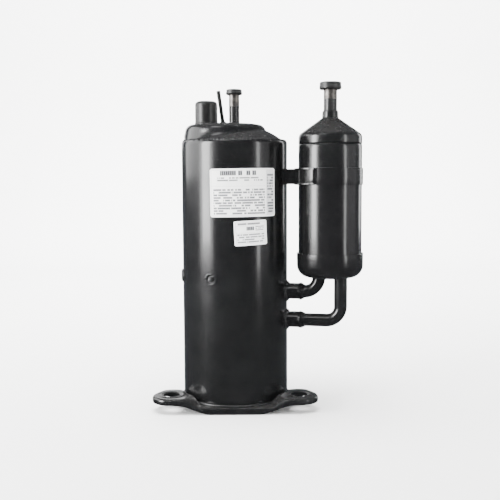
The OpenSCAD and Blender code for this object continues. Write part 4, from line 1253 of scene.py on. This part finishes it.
# %% [markdown]
# ## Floor, light and camera
# Glossy black shows its surroundings and little else, so the light is drawn by what the
# enamel reflects: a wide soft panel far round to the left gives the broad band down the
# shell's left side, and a narrow one at the front right gives the thin line beside the
# label. The floor curves up all round into a bowl, so that it is pale from every side. The
# bowl and the two lights that wash it are hidden from reflections, and the world is dim,
# which keeps the front black.

# %% Floor and backdrop


def stage_surface():
    finish = Finish("pale_floor", (0.86, 0.86, 0.855), 0.6)
    finish.set("Base Color", finish.mix(finish.noise(3, 3), (0.86, 0.86, 0.855, 1), (0.9, 0.9, 0.895, 1)))
    return finish


segments, flat, bend, top = 96, 1.6, 0.8, 3.2    # sides, flat radius, curve and height of the bowl
profile = [(flat + bend * math.sin(a), bend - bend * math.cos(a))
           for a in [math.pi / 2 * i / 16 for i in range(17)]] + [(flat + bend, top)]
verts = [(0, 0, 0)] + [(r * math.cos(a), r * math.sin(a), z)
                       for r, z in profile for a in [2 * math.pi * i / segments for i in range(segments)]]
faces = [(0, 1 + i, 1 + (i + 1) % segments) for i in range(segments)]
faces += [(1 + k * segments + i, 1 + (k + 1) * segments + i,
           1 + (k + 1) * segments + (i + 1) % segments, 1 + k * segments + (i + 1) % segments)
          for k in range(len(profile) - 1) for i in range(segments)]
mesh = bpy.data.meshes.new("floor")
mesh.from_pydata(verts, [], faces)
floor = bpy.data.objects.new("floor", mesh)
bpy.context.scene.collection.objects.link(floor)
mesh.materials.append(stage_surface().material)
mesh.shade_smooth()
floor.visible_glossy = False
print("floor:", len(mesh.polygons), "faces, flat to", flat, "m")


# %% Lights and world
def panel(name, at, size, power, look_at=(0, 0, 0.2), spread=180):
    data = bpy.data.lights.new(name, "AREA")
    data.shape = "RECTANGLE"
    data.size, data.size_y = size
    data.energy = power
    data.spread = math.radians(spread)
    made = bpy.data.objects.new(name, data)
    bpy.context.scene.collection.objects.link(made)
    made.location = at
    made.rotation_euler = (Vector(look_at) - Vector(at)).to_track_quat("-Z", "Y").to_euler()
    return made


panel("left_window", (-1.16, -0.62, 0.56), (0.44, 0.90), 30, look_at=(0, -0.05, 0.56))
panel("left_glow", (-1.22, -0.65, 0.56), (0.80, 1.02), 14, look_at=(0, -0.05, 0.56))
panel("left_wall", (-1.25, 0.28, 0.76), (1.2, 0.94), 16, look_at=(0, 0.1, 0.76))
panel("right_strip", (1.07, -0.84, 0.48), (0.17, 0.9), 4.6, look_at=(0, 0, 0.48))
panel("right_wall", (1.35, -0.3, 0.5), (0.9, 0.9), 1.8, look_at=(0, 0, 0.5))
panel("overhead", (-0.45, -0.75, 1.25), (0.5, 0.35), 2.6)
for made in (panel("floor_wash", (-0.1, 0.0, 1.6), (1.3, 1.2), 60, look_at=(0, 0.1, 0), spread=130),
             panel("backdrop_wash", (0, 0.75, 2.1), (1.8, 0.6), 172, look_at=(0, 2.2, 0.3), spread=120)):
    made.visible_glossy = False
panel("back_window", (1.5, 1.15, 0.6), (0.5, 1.0), 7, look_at=(0, 0, 0.5))
panel("back_wall", (-0.6, 1.9, 0.8), (1.2, 0.8), 5, look_at=(0, 0, 0.4))
world = bpy.data.worlds.new("studio")
world.use_nodes = True
world.node_tree.nodes["Background"].inputs["Color"].default_value = (0.86, 0.91, 1.0, 1)
world.node_tree.nodes["Background"].inputs["Strength"].default_value = 0.13
bpy.context.scene.world = world

# %% [markdown]
# ## The camera
# The view is nearly level, from a little below the lid's height and just under a metre
# away, tipped down a few degrees. A long lens keeps the shell's sides almost parallel.

# %% Camera
eye = Vector((0.0186, -0.9628, 0.2726))
tip_down, roll = math.radians(4.89), math.radians(-0.29)
camera = bpy.data.objects.new("camera", bpy.data.cameras.new("camera"))
bpy.context.scene.collection.objects.link(camera)
camera.data.lens = 55.7
camera.data.sensor_width = 36
camera.location = eye
aimed = Matrix.Rotation(math.pi / 2 - tip_down, 3, "X") @ Matrix.Rotation(roll, 3, "Z")
camera.rotation_euler = aimed.to_euler()
bpy.context.scene.camera = camera
print("camera", tuple(round(v, 3) for v in eye))
